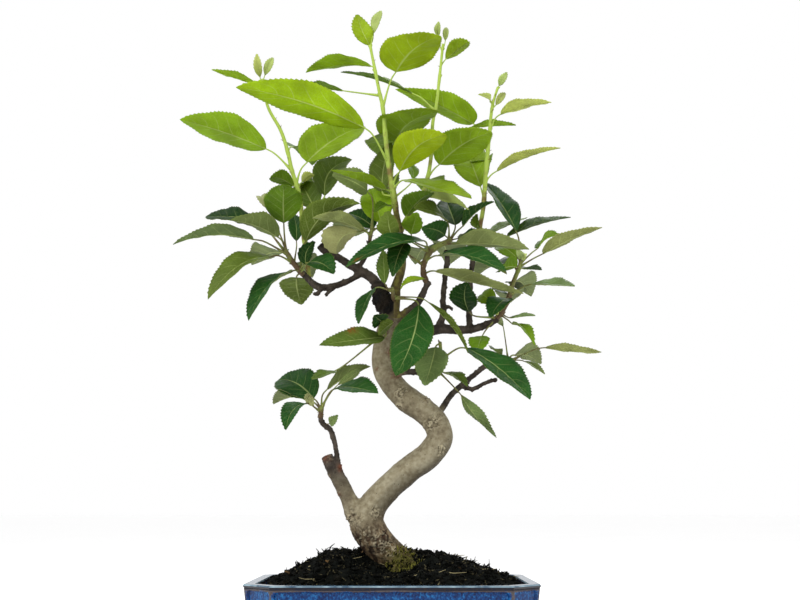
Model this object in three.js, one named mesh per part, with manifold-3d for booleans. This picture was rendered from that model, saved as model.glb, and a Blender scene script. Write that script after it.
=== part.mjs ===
// An apple bonsai: a young apple tree with a bent trunk, in a blue glazed pot with cut corners.
// Millimetres, +Z up, -Y towards the viewer. The pot stands on z = 0.
//
// The tree was read off one view of it. A place in the tree is the pixel where that view shows it,
// and its depth behind the pot's middle plane, in millimetres. Every size across a place, such as a
// limb's radius or a leaf's half width, is a real size.

import * as THREE from 'three';
import { mergeVertices } from 'three/addons/utils/BufferGeometryUtils.js';
import Module from 'manifold-3d';

const wasm = await Module();
wasm.setup();

// Pot
const POT_LENGTH = 200;
const POT_DEPTH = 150;
const POT_HEIGHT = 70;
const CORNER_CUT = 20;
const WALL = 7;
const TAPER = 0.93;
const LIP_HEIGHT = 2.6;
const LIP_REACH = 0.8;
const FOOT_HEIGHT = 8;
const FOOT_LENGTH = 38;
const FOOT_DEPTH = 30;
const FLOOR_THICKNESS = 8;
const CROWN_HEIGHT = 1.2;
const FOOT_TAPER = 0.86;
const FOOT_SETBACK = 4;
const PANEL_DEPTH = 1.4;
const PANEL_MARGIN = 2.4;
const PANEL_CORNER = 4;
const FACET_MARGIN = 2.2;
const FACET_CORNER = 3.5;
const DRAIN_RADIUS = 8;
const DRAIN_OFFSET = 42;

// Drain meshes, which keep the soil off the drain holes
const MESH_SIDE = 26;
const MESH_THICKNESS = 1.2;
const MESH_HOLES = 3;
const MESH_HOLE = 5;

// Soil
const SOIL_EDGE_DROP = 5;
const MOUND_HEIGHT = 27;
const CREST_DEPTH = 16;
const MOUND_REACH = 92;
const FRONT_REACH = 78;
const REAR_REACH = 50;
const HOLLOW = 14;

// Gap kept between pieces that touch
const SEAT_GAP = 0.3;

// Leaves
const BLADE_THICKNESS = 0.8;
const WIDEST = 0.42;
const FULLNESS = 0.78;
const TOOTH = 0.07;
const STALK_HALF = 0.75;
const KNEE_REACH = 5;
const SMALL_LEAF = 7;
const MIDDLE_LEAF = 11.5;

// Leaves behind the stems
const REAR_RISE = 0.25;
const REAR_STALK = 15;
const REAR_LIFT = 4;
const REAR_DROOP = 0.22;
const REAR_LEAN = 50;

// The view that the pixels belong to
const VIEW_MIDDLE = [400, 300];
const VIEW_FOCAL = 1078;
const VIEW_PITCH = Math.atan2(211, VIEW_FOCAL);
const EYE = new THREE.Vector3(5.4, -800, POT_HEIGHT + 48);
const VIEW_AHEAD = new THREE.Vector3(0, Math.cos(VIEW_PITCH), Math.sin(VIEW_PITCH));
const VIEW_UP = new THREE.Vector3(0, -Math.sin(VIEW_PITCH), Math.cos(VIEW_PITCH));
const VIEW_RIGHT = new THREE.Vector3(1, 0, 0);

// Turn of one leaf against the one below it
const GOLDEN_ANGLE = THREE.MathUtils.degToRad(137.5);

// The place that the view shows at a pixel, at a given depth
function seen([px, py], depth) {
  const ray = VIEW_AHEAD.clone()
    .addScaledVector(VIEW_RIGHT, (px - VIEW_MIDDLE[0]) / VIEW_FOCAL)
    .addScaledVector(VIEW_UP, (VIEW_MIDDLE[1] - py) / VIEW_FOCAL);
  return EYE.clone().addScaledVector(ray, (depth - EYE.y) / ray.y);
}

// The pixel at which the view shows a place
function pixelOf(place) {
  const away = place.clone().sub(EYE);
  const ahead = away.dot(VIEW_AHEAD);
  return [
    VIEW_MIDDLE[0] + (VIEW_FOCAL * away.dot(VIEW_RIGHT)) / ahead,
    VIEW_MIDDLE[1] - (VIEW_FOCAL * away.dot(VIEW_UP)) / ahead,
  ];
}

// A repeatable number from 0 to 1 for each count
function vary(count) {
  const wide = Math.sin(count * 12.9898 + 4.1) * 43758.5453;
  return wide - Math.floor(wide);
}

// A closed geometry as a solid that can be joined and cut
function solidOf(geometry) {
  const bare = new THREE.BufferGeometry();
  bare.setAttribute('position', geometry.attributes.position.clone());
  if (geometry.index) bare.setIndex(geometry.index.clone());
  const merged = mergeVertices(bare, 1e-3);
  const corners = merged.index.array;
  const kept = [];
  for (let i = 0; i < corners.length; i += 3) {
    const [a, b, c] = [corners[i], corners[i + 1], corners[i + 2]];
    if (a !== b && b !== c && c !== a) kept.push(a, b, c);
  }
  return new wasm.Manifold(new wasm.Mesh({
    numProp: 3,
    vertProperties: new Float32Array(merged.attributes.position.array),
    triVerts: new Uint32Array(kept),
  }));
}

function geometryOf(solid) {
  const mesh = solid.getMesh();
  const geometry = new THREE.BufferGeometry();
  geometry.setAttribute('position', new THREE.BufferAttribute(mesh.vertProperties, 3));
  geometry.setIndex(new THREE.BufferAttribute(mesh.triVerts, 1));
  geometry.computeVertexNormals();
  return geometry;
}

const joined = (solids) => solids.reduce((whole, next) => whole.add(next));

// The body that is left when loose scraps are dropped
function largestBody(solid) {
  const bodies = solid.decompose();
  return bodies.reduce((best, next) => (next.volume() > best.volume() ? next : best));
}

// Eight-cornered outline of the pot, a given distance inside its widest edge
function cutRectangle(inset) {
  const x = POT_LENGTH / 2 - inset;
  const y = POT_DEPTH / 2 - inset;
  const cut = CORNER_CUT - inset * (2 - Math.SQRT2);
  return new THREE.Shape([
    new THREE.Vector2(x - cut, -y), new THREE.Vector2(x, -y + cut),
    new THREE.Vector2(x, y - cut), new THREE.Vector2(x - cut, y),
    new THREE.Vector2(-x + cut, y), new THREE.Vector2(-x, y - cut),
    new THREE.Vector2(-x, -y + cut), new THREE.Vector2(-x + cut, -y),
  ]);
}

// A slab of an outline between two heights, its plan shrunk towards the bottom
function slab(shape, low, high, lowScale = 1, highScale = 1) {
  const geometry = new THREE.ExtrudeGeometry(shape, { depth: high - low, steps: 1, bevelEnabled: false });
  const place = geometry.attributes.position;
  for (let i = 0; i < place.count; i += 1) {
    const scale = THREE.MathUtils.lerp(lowScale, highScale, place.getZ(i) / (high - low));
    place.setXYZ(i, place.getX(i) * scale, place.getY(i) * scale, place.getZ(i) + low);
  }
  return solidOf(geometry);
}

// A rectangle with round corners, for the sunk panels
function roundedPanel(width, height, corner) {
  const x = width / 2 - corner;
  const y = height / 2 - corner;
  const shape = new THREE.Shape();
  shape.absarc(x, y, corner, 0, Math.PI / 2, false);
  shape.absarc(-x, y, corner, Math.PI / 2, Math.PI, false);
  shape.absarc(-x, -y, corner, Math.PI, 1.5 * Math.PI, false);
  shape.absarc(x, -y, corner, 1.5 * Math.PI, 2 * Math.PI, false);
  return shape;
}

const BODY_INSET = LIP_REACH;
const BODY_LOW = FOOT_HEIGHT;
const BODY_HIGH = POT_HEIGHT - LIP_HEIGHT;
const FLOOR_TOP = FOOT_HEIGHT + FLOOR_THICKNESS;

// The eight side faces: the turn that brings each to the front, its distance from the middle, how far
// its own middle is along it, its width, and its panel's margin and corner
function potFaces() {
  const x = POT_LENGTH / 2 - BODY_INSET;
  const y = POT_DEPTH / 2 - BODY_INSET;
  const cut = CORNER_CUT - BODY_INSET * (2 - Math.SQRT2);
  const wide = { along: 0, margin: PANEL_MARGIN, corner: PANEL_CORNER };
  const faces = [
    { ...wide, turn: 0, reach: y, width: 2 * (x - cut) },
    { ...wide, turn: Math.PI / 2, reach: x, width: 2 * (y - cut) },
  ];
  faces.push({ ...faces[0], turn: Math.PI }, { ...faces[1], turn: 1.5 * Math.PI });
  const facet = new THREE.Vector2(x - cut / 2, -y + cut / 2);
  for (const [sx, sy] of [[1, 1], [1, -1], [-1, -1], [-1, 1]]) {
    const middle = new THREE.Vector2(facet.x * sx, facet.y * sy);
    const looks = Math.atan2(Math.sign(middle.y), Math.sign(middle.x));
    const normal = new THREE.Vector2(Math.cos(looks), Math.sin(looks));
    const side = new THREE.Vector2(-normal.y, normal.x);
    faces.push({
      turn: looks + Math.PI / 2,
      reach: middle.dot(normal),
      along: middle.dot(side),
      width: cut * Math.SQRT2,
      margin: FACET_MARGIN,
      corner: FACET_CORNER,
    });
  }
  return faces;
}

// The cutter that sinks one face's panel, leaning with the tapered wall
function panelCutter({ turn, reach, along, width, margin, corner }) {
  const height = BODY_HIGH - BODY_LOW - PANEL_MARGIN;
  const halfwayTaper = (1 + TAPER) / 2;
  const shape = roundedPanel(width * halfwayTaper - 2 * margin, height, corner);
  const cutter = new THREE.ExtrudeGeometry(shape, { depth: WALL, bevelEnabled: false, curveSegments: 2 });
  cutter.translate(0, 0, -PANEL_DEPTH);
  cutter.rotateX(Math.PI / 2);
  const lean = Math.atan2(reach * (1 - TAPER), BODY_HIGH - BODY_LOW);
  cutter.rotateX(lean);
  cutter.translate(along * halfwayTaper, -reach * halfwayTaper, (BODY_LOW + BODY_HIGH) / 2);
  cutter.rotateZ(turn);
  return solidOf(cutter);
}

function makePot() {
  const body = slab(cutRectangle(BODY_INSET), BODY_LOW, BODY_HIGH + 1, TAPER, 1);
  const lip = slab(cutRectangle(0), BODY_HIGH, POT_HEIGHT - CROWN_HEIGHT, 0.99, 1);
  const crown = slab(cutRectangle(0), POT_HEIGHT - CROWN_HEIGHT, POT_HEIGHT, 1, 0.992);
  const shell = [body, lip, crown];
  const footX = POT_LENGTH / 2 * TAPER - FOOT_LENGTH / 2 - FOOT_SETBACK;
  const footY = POT_DEPTH / 2 * TAPER - FOOT_DEPTH / 2 - FOOT_SETBACK;
  for (const [sx, sy] of [[-1, -1], [1, -1], [1, 1], [-1, 1]]) {
    const foot = new THREE.BoxGeometry(FOOT_LENGTH, FOOT_DEPTH, FOOT_HEIGHT + 2);
    const place = foot.attributes.position;
    for (let i = 0; i < place.count; i += 1) {
      const shrink = place.getZ(i) < 0 ? FOOT_TAPER : 1;
      place.setXY(i, place.getX(i) * shrink, place.getY(i) * shrink);
    }
    foot.translate(sx * footX, sy * footY, (FOOT_HEIGHT + 2) / 2);
    shell.push(solidOf(foot));
  }
  let pot = joined(shell);
  for (const face of potFaces()) pot = pot.subtract(panelCutter(face));
  pot = pot.subtract(slab(cutRectangle(WALL + BODY_INSET), FLOOR_TOP, POT_HEIGHT + 5, TAPER, 1));
  for (const side of [-1, 1]) {
    const drain = new THREE.CylinderGeometry(DRAIN_RADIUS, DRAIN_RADIUS, 40, 16);
    drain.rotateX(Math.PI / 2);
    drain.translate(side * DRAIN_OFFSET, 0, FLOOR_TOP - 10);
    pot = pot.subtract(solidOf(drain));
  }
  return pot;
}

function makeDrainMesh(side) {
  const middle = FLOOR_TOP + SEAT_GAP + MESH_THICKNESS / 2;
  const plate = new THREE.BoxGeometry(MESH_SIDE, MESH_SIDE, MESH_THICKNESS);
  plate.translate(side * DRAIN_OFFSET, 0, middle);
  let drainMesh = solidOf(plate);
  const pitch = MESH_SIDE / (MESH_HOLES + 0.6);
  for (let row = 0; row < MESH_HOLES; row += 1) {
    for (let column = 0; column < MESH_HOLES; column += 1) {
      const x = side * DRAIN_OFFSET + (column - (MESH_HOLES - 1) / 2) * pitch;
      const y = (row - (MESH_HOLES - 1) / 2) * pitch;
      const hole = new THREE.BoxGeometry(MESH_HOLE, MESH_HOLE, 3 * MESH_THICKNESS);
      hole.translate(x, y, middle);
      drainMesh = drainMesh.subtract(solidOf(hole));
    }
  }
  return drainMesh;
}

// Height of the soil: a mound with its crest behind the trunk, which sinks to the rim, with a hollow
// in front of the trunk, a heap on the left and small lumps
function soilHeight(x, y) {
  const away = y - CREST_DEPTH;
  const out = Math.hypot(x / MOUND_REACH, away / (away < 0 ? FRONT_REACH : REAR_REACH));
  const mound = MOUND_HEIGHT * Math.max(0, 1 - out ** 2.2);
  const hollow = HOLLOW * Math.exp(-((x / 26) ** 2) - ((y + 14) / 22) ** 2);
  const heap = 10 * Math.exp(-(((x + 54) / 18) ** 2)) * Math.max(0, 1 - out);
  const lumps = 1.6 * Math.sin(x * 0.31 + 1.3 * Math.sin(y * 0.23)) * Math.sin(y * 0.37 + x * 0.11);
  const calm = Math.max(0, Math.min(1, 1.4 - out));
  return POT_HEIGHT - SOIL_EDGE_DROP + mound - hollow + heap + lumps * calm;
}

function makeSoil(trunkHole) {
  const block = slab(cutRectangle(WALL + BODY_INSET + SEAT_GAP), FLOOR_TOP + SEAT_GAP, 120, TAPER, 1.045);
  const sky = new THREE.BoxGeometry(POT_LENGTH + 20, POT_DEPTH + 20, 60, 14, 11, 1);
  const place = sky.attributes.position;
  for (let i = 0; i < place.count; i += 1) {
    const z = place.getZ(i) < 0 ? soilHeight(place.getX(i), place.getY(i)) : 140;
    place.setZ(i, z);
  }
  let soil = block.subtract(solidOf(sky)).subtract(trunkHole);
  for (const side of [-1, 1]) {
    const pocket = MESH_SIDE + 2 * SEAT_GAP;
    const over = new THREE.BoxGeometry(pocket, pocket, 2 * (MESH_THICKNESS + 2 * SEAT_GAP));
    over.translate(side * DRAIN_OFFSET, 0, FLOOR_TOP);
    soil = soil.subtract(solidOf(over));
  }
  return largestBody(soil);
}

// A limb is a row of stations: pixel across, pixel down, depth, radius. Its curve runs through them.
function limbCurve(stations, lift = 0) {
  const places = stations.map(([px, py, depth]) => seen([px, py], depth));
  return {
    curve: new THREE.CatmullRomCurve3(places, false, 'centripetal'),
    radii: stations.map((station) => station[3] + lift),
  };
}

function radiusAt(radii, t) {
  const spot = Math.min(t * (radii.length - 1), radii.length - 1 - 1e-9);
  const from = Math.floor(spot);
  return THREE.MathUtils.lerp(radii[from], radii[from + 1], spot - from);
}

// A closed tube that follows a curve, with its radius given along it and bark relief as a factor
function bentTube({ curve, radii }, sides, steps, relief = () => 1) {
  const tube = new THREE.CylinderGeometry(1, 1, 1, sides, steps);
  const frames = [];
  let normal = null;
  for (let i = 0; i <= steps; i += 1) {
    const ahead = curve.getTangent(i / steps);
    if (!normal) normal = new THREE.Vector3(ahead.z, 0.3, -ahead.x);
    normal = normal.clone().addScaledVector(ahead, -normal.dot(ahead)).normalize();
    frames.push({ middle: curve.getPoint(i / steps), normal, side: normal.clone().cross(ahead) });
  }
  const place = tube.attributes.position;
  for (let i = 0; i < place.count; i += 1) {
    const t = place.getY(i) + 0.5;
    const { middle, normal: across, side } = frames[Math.round(t * steps)];
    const angle = Math.atan2(place.getZ(i), place.getX(i));
    const out = Math.hypot(place.getX(i), place.getZ(i)) * radiusAt(radii, t) * relief(t, angle);
    const spot = middle.clone().addScaledVector(across, Math.cos(angle) * out)
      .addScaledVector(side, Math.sin(angle) * out);
    place.setXYZ(i, spot.x, spot.y, spot.z);
  }
  return solidOf(tube);
}

// Bark: shallow flutes up the trunk, with swollen knots where old shoots were cut
const KNOTS = [
  { t: 0.30, angle: 2.6, swell: 0.30, reach: 0.035 },
  { t: 0.52, angle: 1.2, swell: 0.16, reach: 0.030 },
  { t: 0.60, angle: 1.9, swell: 0.18, reach: 0.025 },
  { t: 0.74, angle: 1.4, swell: 0.20, reach: 0.025 },
];

function barkRelief(t, angle) {
  let relief = 1 + 0.035 * Math.sin(3 * angle + 9 * t) + 0.02 * Math.sin(5 * angle - 14 * t);
  for (const knot of KNOTS) {
    const turned = Math.cos(angle - knot.angle);
    relief += knot.swell * Math.exp(-(((t - knot.t) / knot.reach) ** 2)) * Math.max(0, turned) ** 3;
  }
  return relief;
}

// The woody part of the tree, each limb rooted inside the one that carries it
const LIMBS = {
  trunk: { sides: 10, steps: 28, relief: barkRelief, run: [
    [404, 590, 10, 12], [400, 571, 9, 13.0], [392, 559, 8, 12.4], [383, 549, 7, 11.9], [374, 538, 6, 12.2],
    [367, 523, 5, 12.6], [372, 507, 4, 10.7], [384, 493, 2, 9.4], [397, 481, 1, 9.3],
    [412, 468, 0, 9.5], [429, 455, -2, 9.7], [440, 438, -4, 9.5], [436, 423, -4, 9.4],
    [424, 411, -2, 9.4], [410, 402, 0, 9.2], [398, 391, 2, 8.8], [388, 378, 3, 8.6],
    [383, 363, 4, 8.4], [384, 344, 3, 8.0], [388, 326, 1, 7.4], [392, 312, -1, 5.6],
    [395, 302, -3, 4.0], [396, 287, -5, 3.4], [402, 266, -5, 3.1], [401, 246, -3, 2.8],
    [399, 230, -1, 2.6], [397, 217, 1, 2.4], [395, 204, 2, 2.3],
  ] },
  stump: { sides: 7, steps: 7, run: [
    [368, 529, 5, 9.5], [356, 512, 4, 8.0], [348, 497, 3, 5.8], [340, 481, 2, 5.5],
    [332, 467, 1, 4.6], [327, 456, 1, 4.2],
  ] },
  stumpTwig: { sides: 5, steps: 6, run: [
    [341, 480, 1, 2.0], [338, 462, -1, 1.9], [334, 440, -2, 1.8], [329, 428, -2, 1.8],
    [322, 423, -2, 1.7], [320, 414, -2, 1.9],
  ] },
  burr: { sides: 7, steps: 5, run: [
    [390, 318, 4, 4.0], [385, 308, 2, 6.0], [382, 299, 0, 7.2], [380, 290, 2, 6.2], [377, 284, 4, 4.6],
  ] },
  leftBranch: { sides: 6, steps: 8, run: [
    [384, 296, 3, 4.2], [375, 281, 5, 3.7], [363, 272, 6, 3.4], [350, 265, 6, 2.9],
    [336, 256, 5, 2.7], [325, 250, 4, 3.4], [320, 245, 3, 3.3],
  ] },
  leftTwig: { sides: 6, steps: 7, run: [
    [362, 273, 6, 2.4], [348, 281, 5, 2.2], [333, 286, 4, 2.4], [319, 287, 3, 2.9],
    [309, 280, 3, 2.3], [302, 272, 2, 1.9],
  ] },
  leftStubOne: { sides: 5, steps: 2, run: [
    [326, 286, 3, 1.5], [319, 292, 0, 1.3], [315, 295, -2, 1.1],
  ] },
  leftStubTwo: { sides: 5, steps: 2, run: [
    [338, 285, 4, 1.5], [330, 291, 2, 1.4], [325, 295, 0, 1.1],
  ] },
  spurTwig: { sides: 5, steps: 5, run: [
    [358, 268, 6, 2.0], [365, 258, 6, 1.8], [369, 248, 5, 1.7], [370, 241, 4, 1.7],
  ] },
  rightBranch: { sides: 7, steps: 9, run: [
    [388, 344, 3, 5.6], [404, 339, 8, 5.0], [424, 333, 12, 4.2], [441, 329, 14, 3.7],
    [458, 330, 13, 3.3], [474, 329, 12, 2.9], [488, 324, 10, 2.6], [498, 319, 8, 2.3],
  ] },
  riser: { sides: 6, steps: 7, run: [
    [436, 333, 13, 2.8], [443, 315, 14, 2.4], [443, 302, 15, 2.2], [444, 286, 16, 2.1],
    [446, 270, 17, 2.0], [447, 258, 18, 2.0], [446, 250, 18, 1.8],
  ] },
  riserStub: { sides: 5, steps: 2, run: [
    [443, 306, 15, 1.4], [449, 307, 13, 1.3], [453, 309, 11, 1.0],
  ] },
  rightRiser: { sides: 5, steps: 5, run: [
    [470, 331, 13, 2.5], [469, 310, 15, 2.2], [470, 288, 17, 2.1], [472, 266, 17, 2.0],
    [476, 246, 16, 1.9],
  ] },
  centreTwig: { sides: 6, steps: 5, run: [
    [392, 322, 0, 3.6], [405, 313, -5, 2.9], [417, 304, -8, 2.6], [424, 291, -8, 2.2], [429, 281, -8, 2.3],
  ] },
  budTwig: { sides: 5, steps: 4, run: [
    [392, 374, 2, 2.6], [405, 372, -6, 2.3], [420, 372, -9, 2.0], [434, 373, -10, 1.9],
  ] },
  darkTwig: { sides: 6, steps: 7, run: [
    [431, 420, 0, 2.8], [441, 410, 8, 2.5], [451, 395, 14, 2.2], [462, 385, 19, 2.1],
    [474, 375, 23, 1.9], [486, 366, 25, 1.8], [502, 362, 24, 1.8],
  ] },
  darkStub: { sides: 5, steps: 4, run: [
    [461, 386, 18, 1.8], [472, 389, 20, 1.7], [485, 383, 20, 1.5], [497, 379, 18, 1.4],
  ] },
};

// Short roots that leave the foot of the trunk and dive into the soil: where each looks, and how far
// it gets. All follow one run: share of the reach, rise over the foot, radius.
const TRUNK_FOOT = seen([396, 566], 9);
const ROOT_RUN = [[0.15, 2, 7.5], [0.6, -4, 6.0], [0.85, -10, 4.2], [1, -18, 2.6]];
const ROOTS = [
  { looks: 200, reach: 24 }, { looks: 265, reach: 19 }, { looks: 335, reach: 27 }, { looks: 60, reach: 24 },
];

function rootTube({ looks, reach }, lift) {
  const turn = THREE.MathUtils.degToRad(looks);
  const out = new THREE.Vector3(Math.cos(turn), Math.sin(turn), 0);
  const places = ROOT_RUN.map(([share, rise]) => TRUNK_FOOT.clone().addScaledVector(out, share * reach)
    .add(new THREE.Vector3(0, 0, rise)));
  return bentTube({
    curve: new THREE.CatmullRomCurve3(places, false, 'centripetal'),
    radii: ROOT_RUN.map((station) => station[2] + lift),
  }, 6, 4);
}

// The wood, or the same wood a gap larger all round, for what has to stay clear of it
function makeWood(lift) {
  const limbs = Object.values(LIMBS).map(({ sides, steps, relief, run }) => (
    bentTube(limbCurve(run, lift), sides, steps, relief)
  ));
  return joined([...limbs, ...ROOTS.map((root) => rootTube(root, lift))]);
}

// A leaf's own directions. With roll 0 its upper face looks at the viewer; a positive roll turns that
// face up, or to the left on a leaf that stands or hangs, and from 90 on its underside shows.
function bladeOf({
  base, tip, half, roll = 0, arch = 3, fold = 16, sway = 0, twist = 0, shear = 0, bulge = WIDEST, wave = 0.06,
}) {
  const axis = tip.clone().sub(base).normalize();
  const middle = base.clone().lerp(tip, 0.5);
  const facing = EYE.clone().sub(middle).normalize();
  facing.addScaledVector(axis, -facing.dot(axis)).normalize();
  const upward = axis.clone().cross(facing);
  if (upward.z - 0.25 * upward.x < 0) upward.negate();
  const turn = THREE.MathUtils.degToRad(roll);
  const top = facing.multiplyScalar(Math.cos(turn)).addScaledVector(upward, Math.sin(turn));
  const foldTurn = THREE.MathUtils.degToRad(fold);
  const twistTurn = THREE.MathUtils.degToRad(twist);
  return { base, tip, axis, top, half, arch, foldTurn, sway, twist: twistTurn, shear, bulge, wave };
}

// A place on the rib, which bows up and to one side between the blade's base and its tip
function ribPlace(blade, u) {
  const bow = 4 * u * (1 - u);
  const side = blade.top.clone().cross(blade.axis);
  return blade.base.clone().lerp(blade.tip, u)
    .addScaledVector(blade.top, blade.arch * bow)
    .addScaledVector(side, blade.sway * bow);
}

// Half width as a share of the widest, along a blade that is widest at its bulge
function widthShare(blade, u) {
  const along = u ** (Math.log(0.5) / Math.log(blade.bulge));
  return Math.max(0, Math.sin(Math.PI * along)) ** FULLNESS;
}

// A place on the blade: u along the rib, across from -1 to 1, lifted off the middle of its thickness
function bladePlace(blade, u, across, lift) {
  const step = 0.01;
  const rib = ribPlace(blade, u);
  const before = ribPlace(blade, Math.max(0, u - step));
  const ahead = ribPlace(blade, Math.min(1, u + step)).sub(before).normalize();
  const top = blade.top.clone().applyAxisAngle(blade.axis, blade.twist * (u - 0.5));
  top.addScaledVector(ahead, -top.dot(ahead)).normalize();
  const side = top.clone().cross(ahead);
  const full = blade.half * widthShare(blade, u);
  const reach = full * across;
  const rise = Math.abs(reach) * Math.sin(blade.foldTurn)
    + blade.wave * full * Math.abs(across) * Math.sin(11 * u + 2.5 * Math.sign(across));
  return rib.addScaledVector(side, reach * Math.cos(blade.foldTurn)).addScaledVector(top, rise + lift)
    .addScaledVector(blade.axis, reach * blade.shear);
}

// Triangles between the rib and one edge, two chains that share their first and last corners
function zipChains(rib, edge, along) {
  const faces = [];
  let i = 0;
  let j = 0;
  while (i < rib.length - 1 || j < edge.length - 1) {
    const edgeFirst = j < edge.length - 1
      && (i === rib.length - 1 || along[edge[j + 1]] <= along[rib[i + 1]]);
    const next = edgeFirst ? edge[j + 1] : rib[i + 1];
    const face = [rib[i], edge[j], next];
    if (new Set(face).size === 3) faces.push(face);
    if (edgeFirst) j += 1;
    else i += 1;
  }
  return faces;
}

// How finely a blade is cut up, by its half width
function finenessOf(half) {
  if (half < SMALL_LEAF) return { ribCount: 2, edgeCount: 4 };
  return half < MIDDLE_LEAF ? { ribCount: 2, edgeCount: 5 } : { ribCount: 3, edgeCount: 6 };
}

// The four corners of the stalk where it reaches each of its places, turned along with it
function stalkSections(foot, blade) {
  const reach = foot.distanceTo(blade.base);
  const knee = blade.base.clone().addScaledVector(blade.axis, -Math.min(KNEE_REACH, 0.4 * reach));
  const axis = ribPlace(blade, 0.01).sub(blade.base).normalize();
  const thin = STALK_HALF * Math.min(1, 0.6 + blade.half / 30);
  let top = blade.top.clone().applyAxisAngle(blade.axis, -blade.twist / 2);
  top.addScaledVector(axis, -top.dot(axis)).normalize();
  let side = top.clone().cross(axis);
  const sections = [{ place: blade.base, top, side, up: BLADE_THICKNESS / 2, out: thin }];
  let ahead = axis;
  for (const [place, next] of [[knee, blade.base], [foot, knee]]) {
    const along = next.clone().sub(place).normalize();
    const turn = new THREE.Quaternion().setFromUnitVectors(ahead, along);
    top = top.clone().applyQuaternion(turn);
    side = side.clone().applyQuaternion(turn);
    sections.push({ place, top, side, up: thin, out: thin });
    ahead = along;
  }
  return sections.map(({ place, top: upward, side: across, up, out }) => (
    [[-1, 1], [1, 1], [1, -1], [-1, -1]].map(([x, y]) => (
      place.clone().addScaledVector(across, x * out).addScaledVector(upward, y * up)
    ))
  ));
}

// A leaf as one closed body: a stalk with four sides that opens into a thin blade with a toothed
// edge. The blade has the same triangles on both faces, and a wall round its edge.
function leafSolid(foot, blade) {
  const { ribCount, edgeCount } = finenessOf(blade.half);
  const sections = stalkSections(foot, blade);
  const [upLeft, upRight, downRight, downLeft] = sections[0];
  const grid = [{ u: 0 }, { u: 0 }];
  for (let i = 1; i <= ribCount; i += 1) grid.push({ u: i / ribCount, across: 0 });
  const tip = grid.length - 1;
  const edges = [-1, 1].map((side) => {
    const chain = [side < 0 ? 0 : 1];
    for (let j = 1; j < edgeCount; j += 1) {
      const pointed = j % 2;
      grid.push({ u: (j + 0.25 * pointed) / edgeCount, across: side * (pointed ? 1 + TOOTH : 1 - TOOTH) });
      chain.push(grid.length - 1);
    }
    return [...chain, tip];
  });
  const along = grid.map((spot) => spot.u);
  const rib = grid.map((spot, i) => i).slice(2, tip + 1);
  const face = [
    [0, 2, 1],
    ...zipChains([0, ...rib], edges[0], along),
    ...zipChains([1, ...rib], edges[1], along).map(([a, b, c]) => [a, c, b]),
  ];
  const half = BLADE_THICKNESS / 2;
  const layer = (lift, left, right) => [left, right, ...grid.slice(2).map(({ u, across }) => (
    bladePlace(blade, u, across, lift)
  ))];
  const places = [...layer(half, upLeft, upRight), ...layer(-half, downLeft, downRight)];
  const under = grid.length;
  const corners = face.flatMap(([a, b, c]) => [a, b, c, under + a, under + c, under + b]);
  const border = [...edges[0], ...edges[1].slice(1, -1).reverse(), 1];
  for (let i = 0; i < border.length - 1; i += 1) {
    const [from, to] = [border[i], border[i + 1]];
    corners.push(to, from, under + from, to, under + from, under + to);
  }
  let ring = [0, 1, under + 1, under];
  for (const section of sections.slice(1)) {
    const first = places.length;
    places.push(...section);
    const next = [first, first + 1, first + 2, first + 3];
    for (let k = 0; k < 4; k += 1) {
      const k2 = (k + 1) % 4;
      corners.push(ring[k], ring[k2], next[k2], ring[k], next[k2], next[k]);
    }
    ring = next;
  }
  corners.push(ring[0], ring[1], ring[2], ring[0], ring[2], ring[3]);
  const geometry = new THREE.BufferGeometry();
  geometry.setAttribute('position', new THREE.Float32BufferAttribute(places.flatMap((v) => v.toArray()), 3));
  geometry.setIndex(corners);
  return solidOf(geometry);
}

// The stem place that the view shows nearest to a pixel
function stemPlace(stems, pixel) {
  let best = null;
  for (const { curve } of stems) {
    for (let i = 0; i <= 60; i += 1) {
      const place = curve.getPoint(0.04 + 0.94 * (i / 60));
      const [px, py] = pixelOf(place);
      const away = Math.hypot(px - pixel[0], py - pixel[1]);
      if (!best || away < best.away) best = { away, place };
    }
  }
  return best.place;
}

// A leaf read off the view: the pixels of its stalk's foot, its base and its tip, and two depths
function seenLeaf(stems, { stalk, base, tip, deep, ...form }) {
  const blade = bladeOf({ ...form, base: seen(base, deep[0]), tip: seen(tip, deep[1]) });
  return leafSolid(stemPlace(stems, stalk ?? base), blade);
}

// Leaves behind a stem, where the view doesn't reach. They climb it and fan out about one way.
function rearLeaf(stem, { from, to, count, length, half, start, toward, spread }, step) {
  const foot = stem.curve.getPoint(THREE.MathUtils.lerp(from, to, (step + 0.5) / count));
  const swing = ((start + step * GOLDEN_ANGLE) % Math.PI) / Math.PI;
  const turn = THREE.MathUtils.degToRad(toward + spread * (2 * swing - 1));
  const out = new THREE.Vector3(Math.cos(turn), Math.sin(turn), REAR_RISE + 0.2 * (vary(step + start) - 0.5));
  out.normalize();
  const size = 0.85 + 0.3 * vary(7 * step + start);
  const base = foot.clone().addScaledVector(out, REAR_STALK * size);
  base.z += REAR_LIFT;
  const tip = base.clone().addScaledVector(out, length * size);
  tip.z -= REAR_DROOP * length * size;
  const top = new THREE.Vector3(0, 0, 1);
  const axis = tip.clone().sub(base).normalize();
  top.addScaledVector(axis, -top.dot(axis)).normalize();
  const lean = REAR_LEAN * (vary(3 * step + start) - 0.5);
  top.applyAxisAngle(axis, THREE.MathUtils.degToRad(lean));
  const form = {
    arch: 5, foldTurn: 0.3, sway: 2 * vary(step) - 1, twist: 0.3, shear: 0, bulge: WIDEST, wave: 0.07,
  };
  return leafSolid(foot, { ...form, base, tip, axis, top, half: half * size });
}

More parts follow.
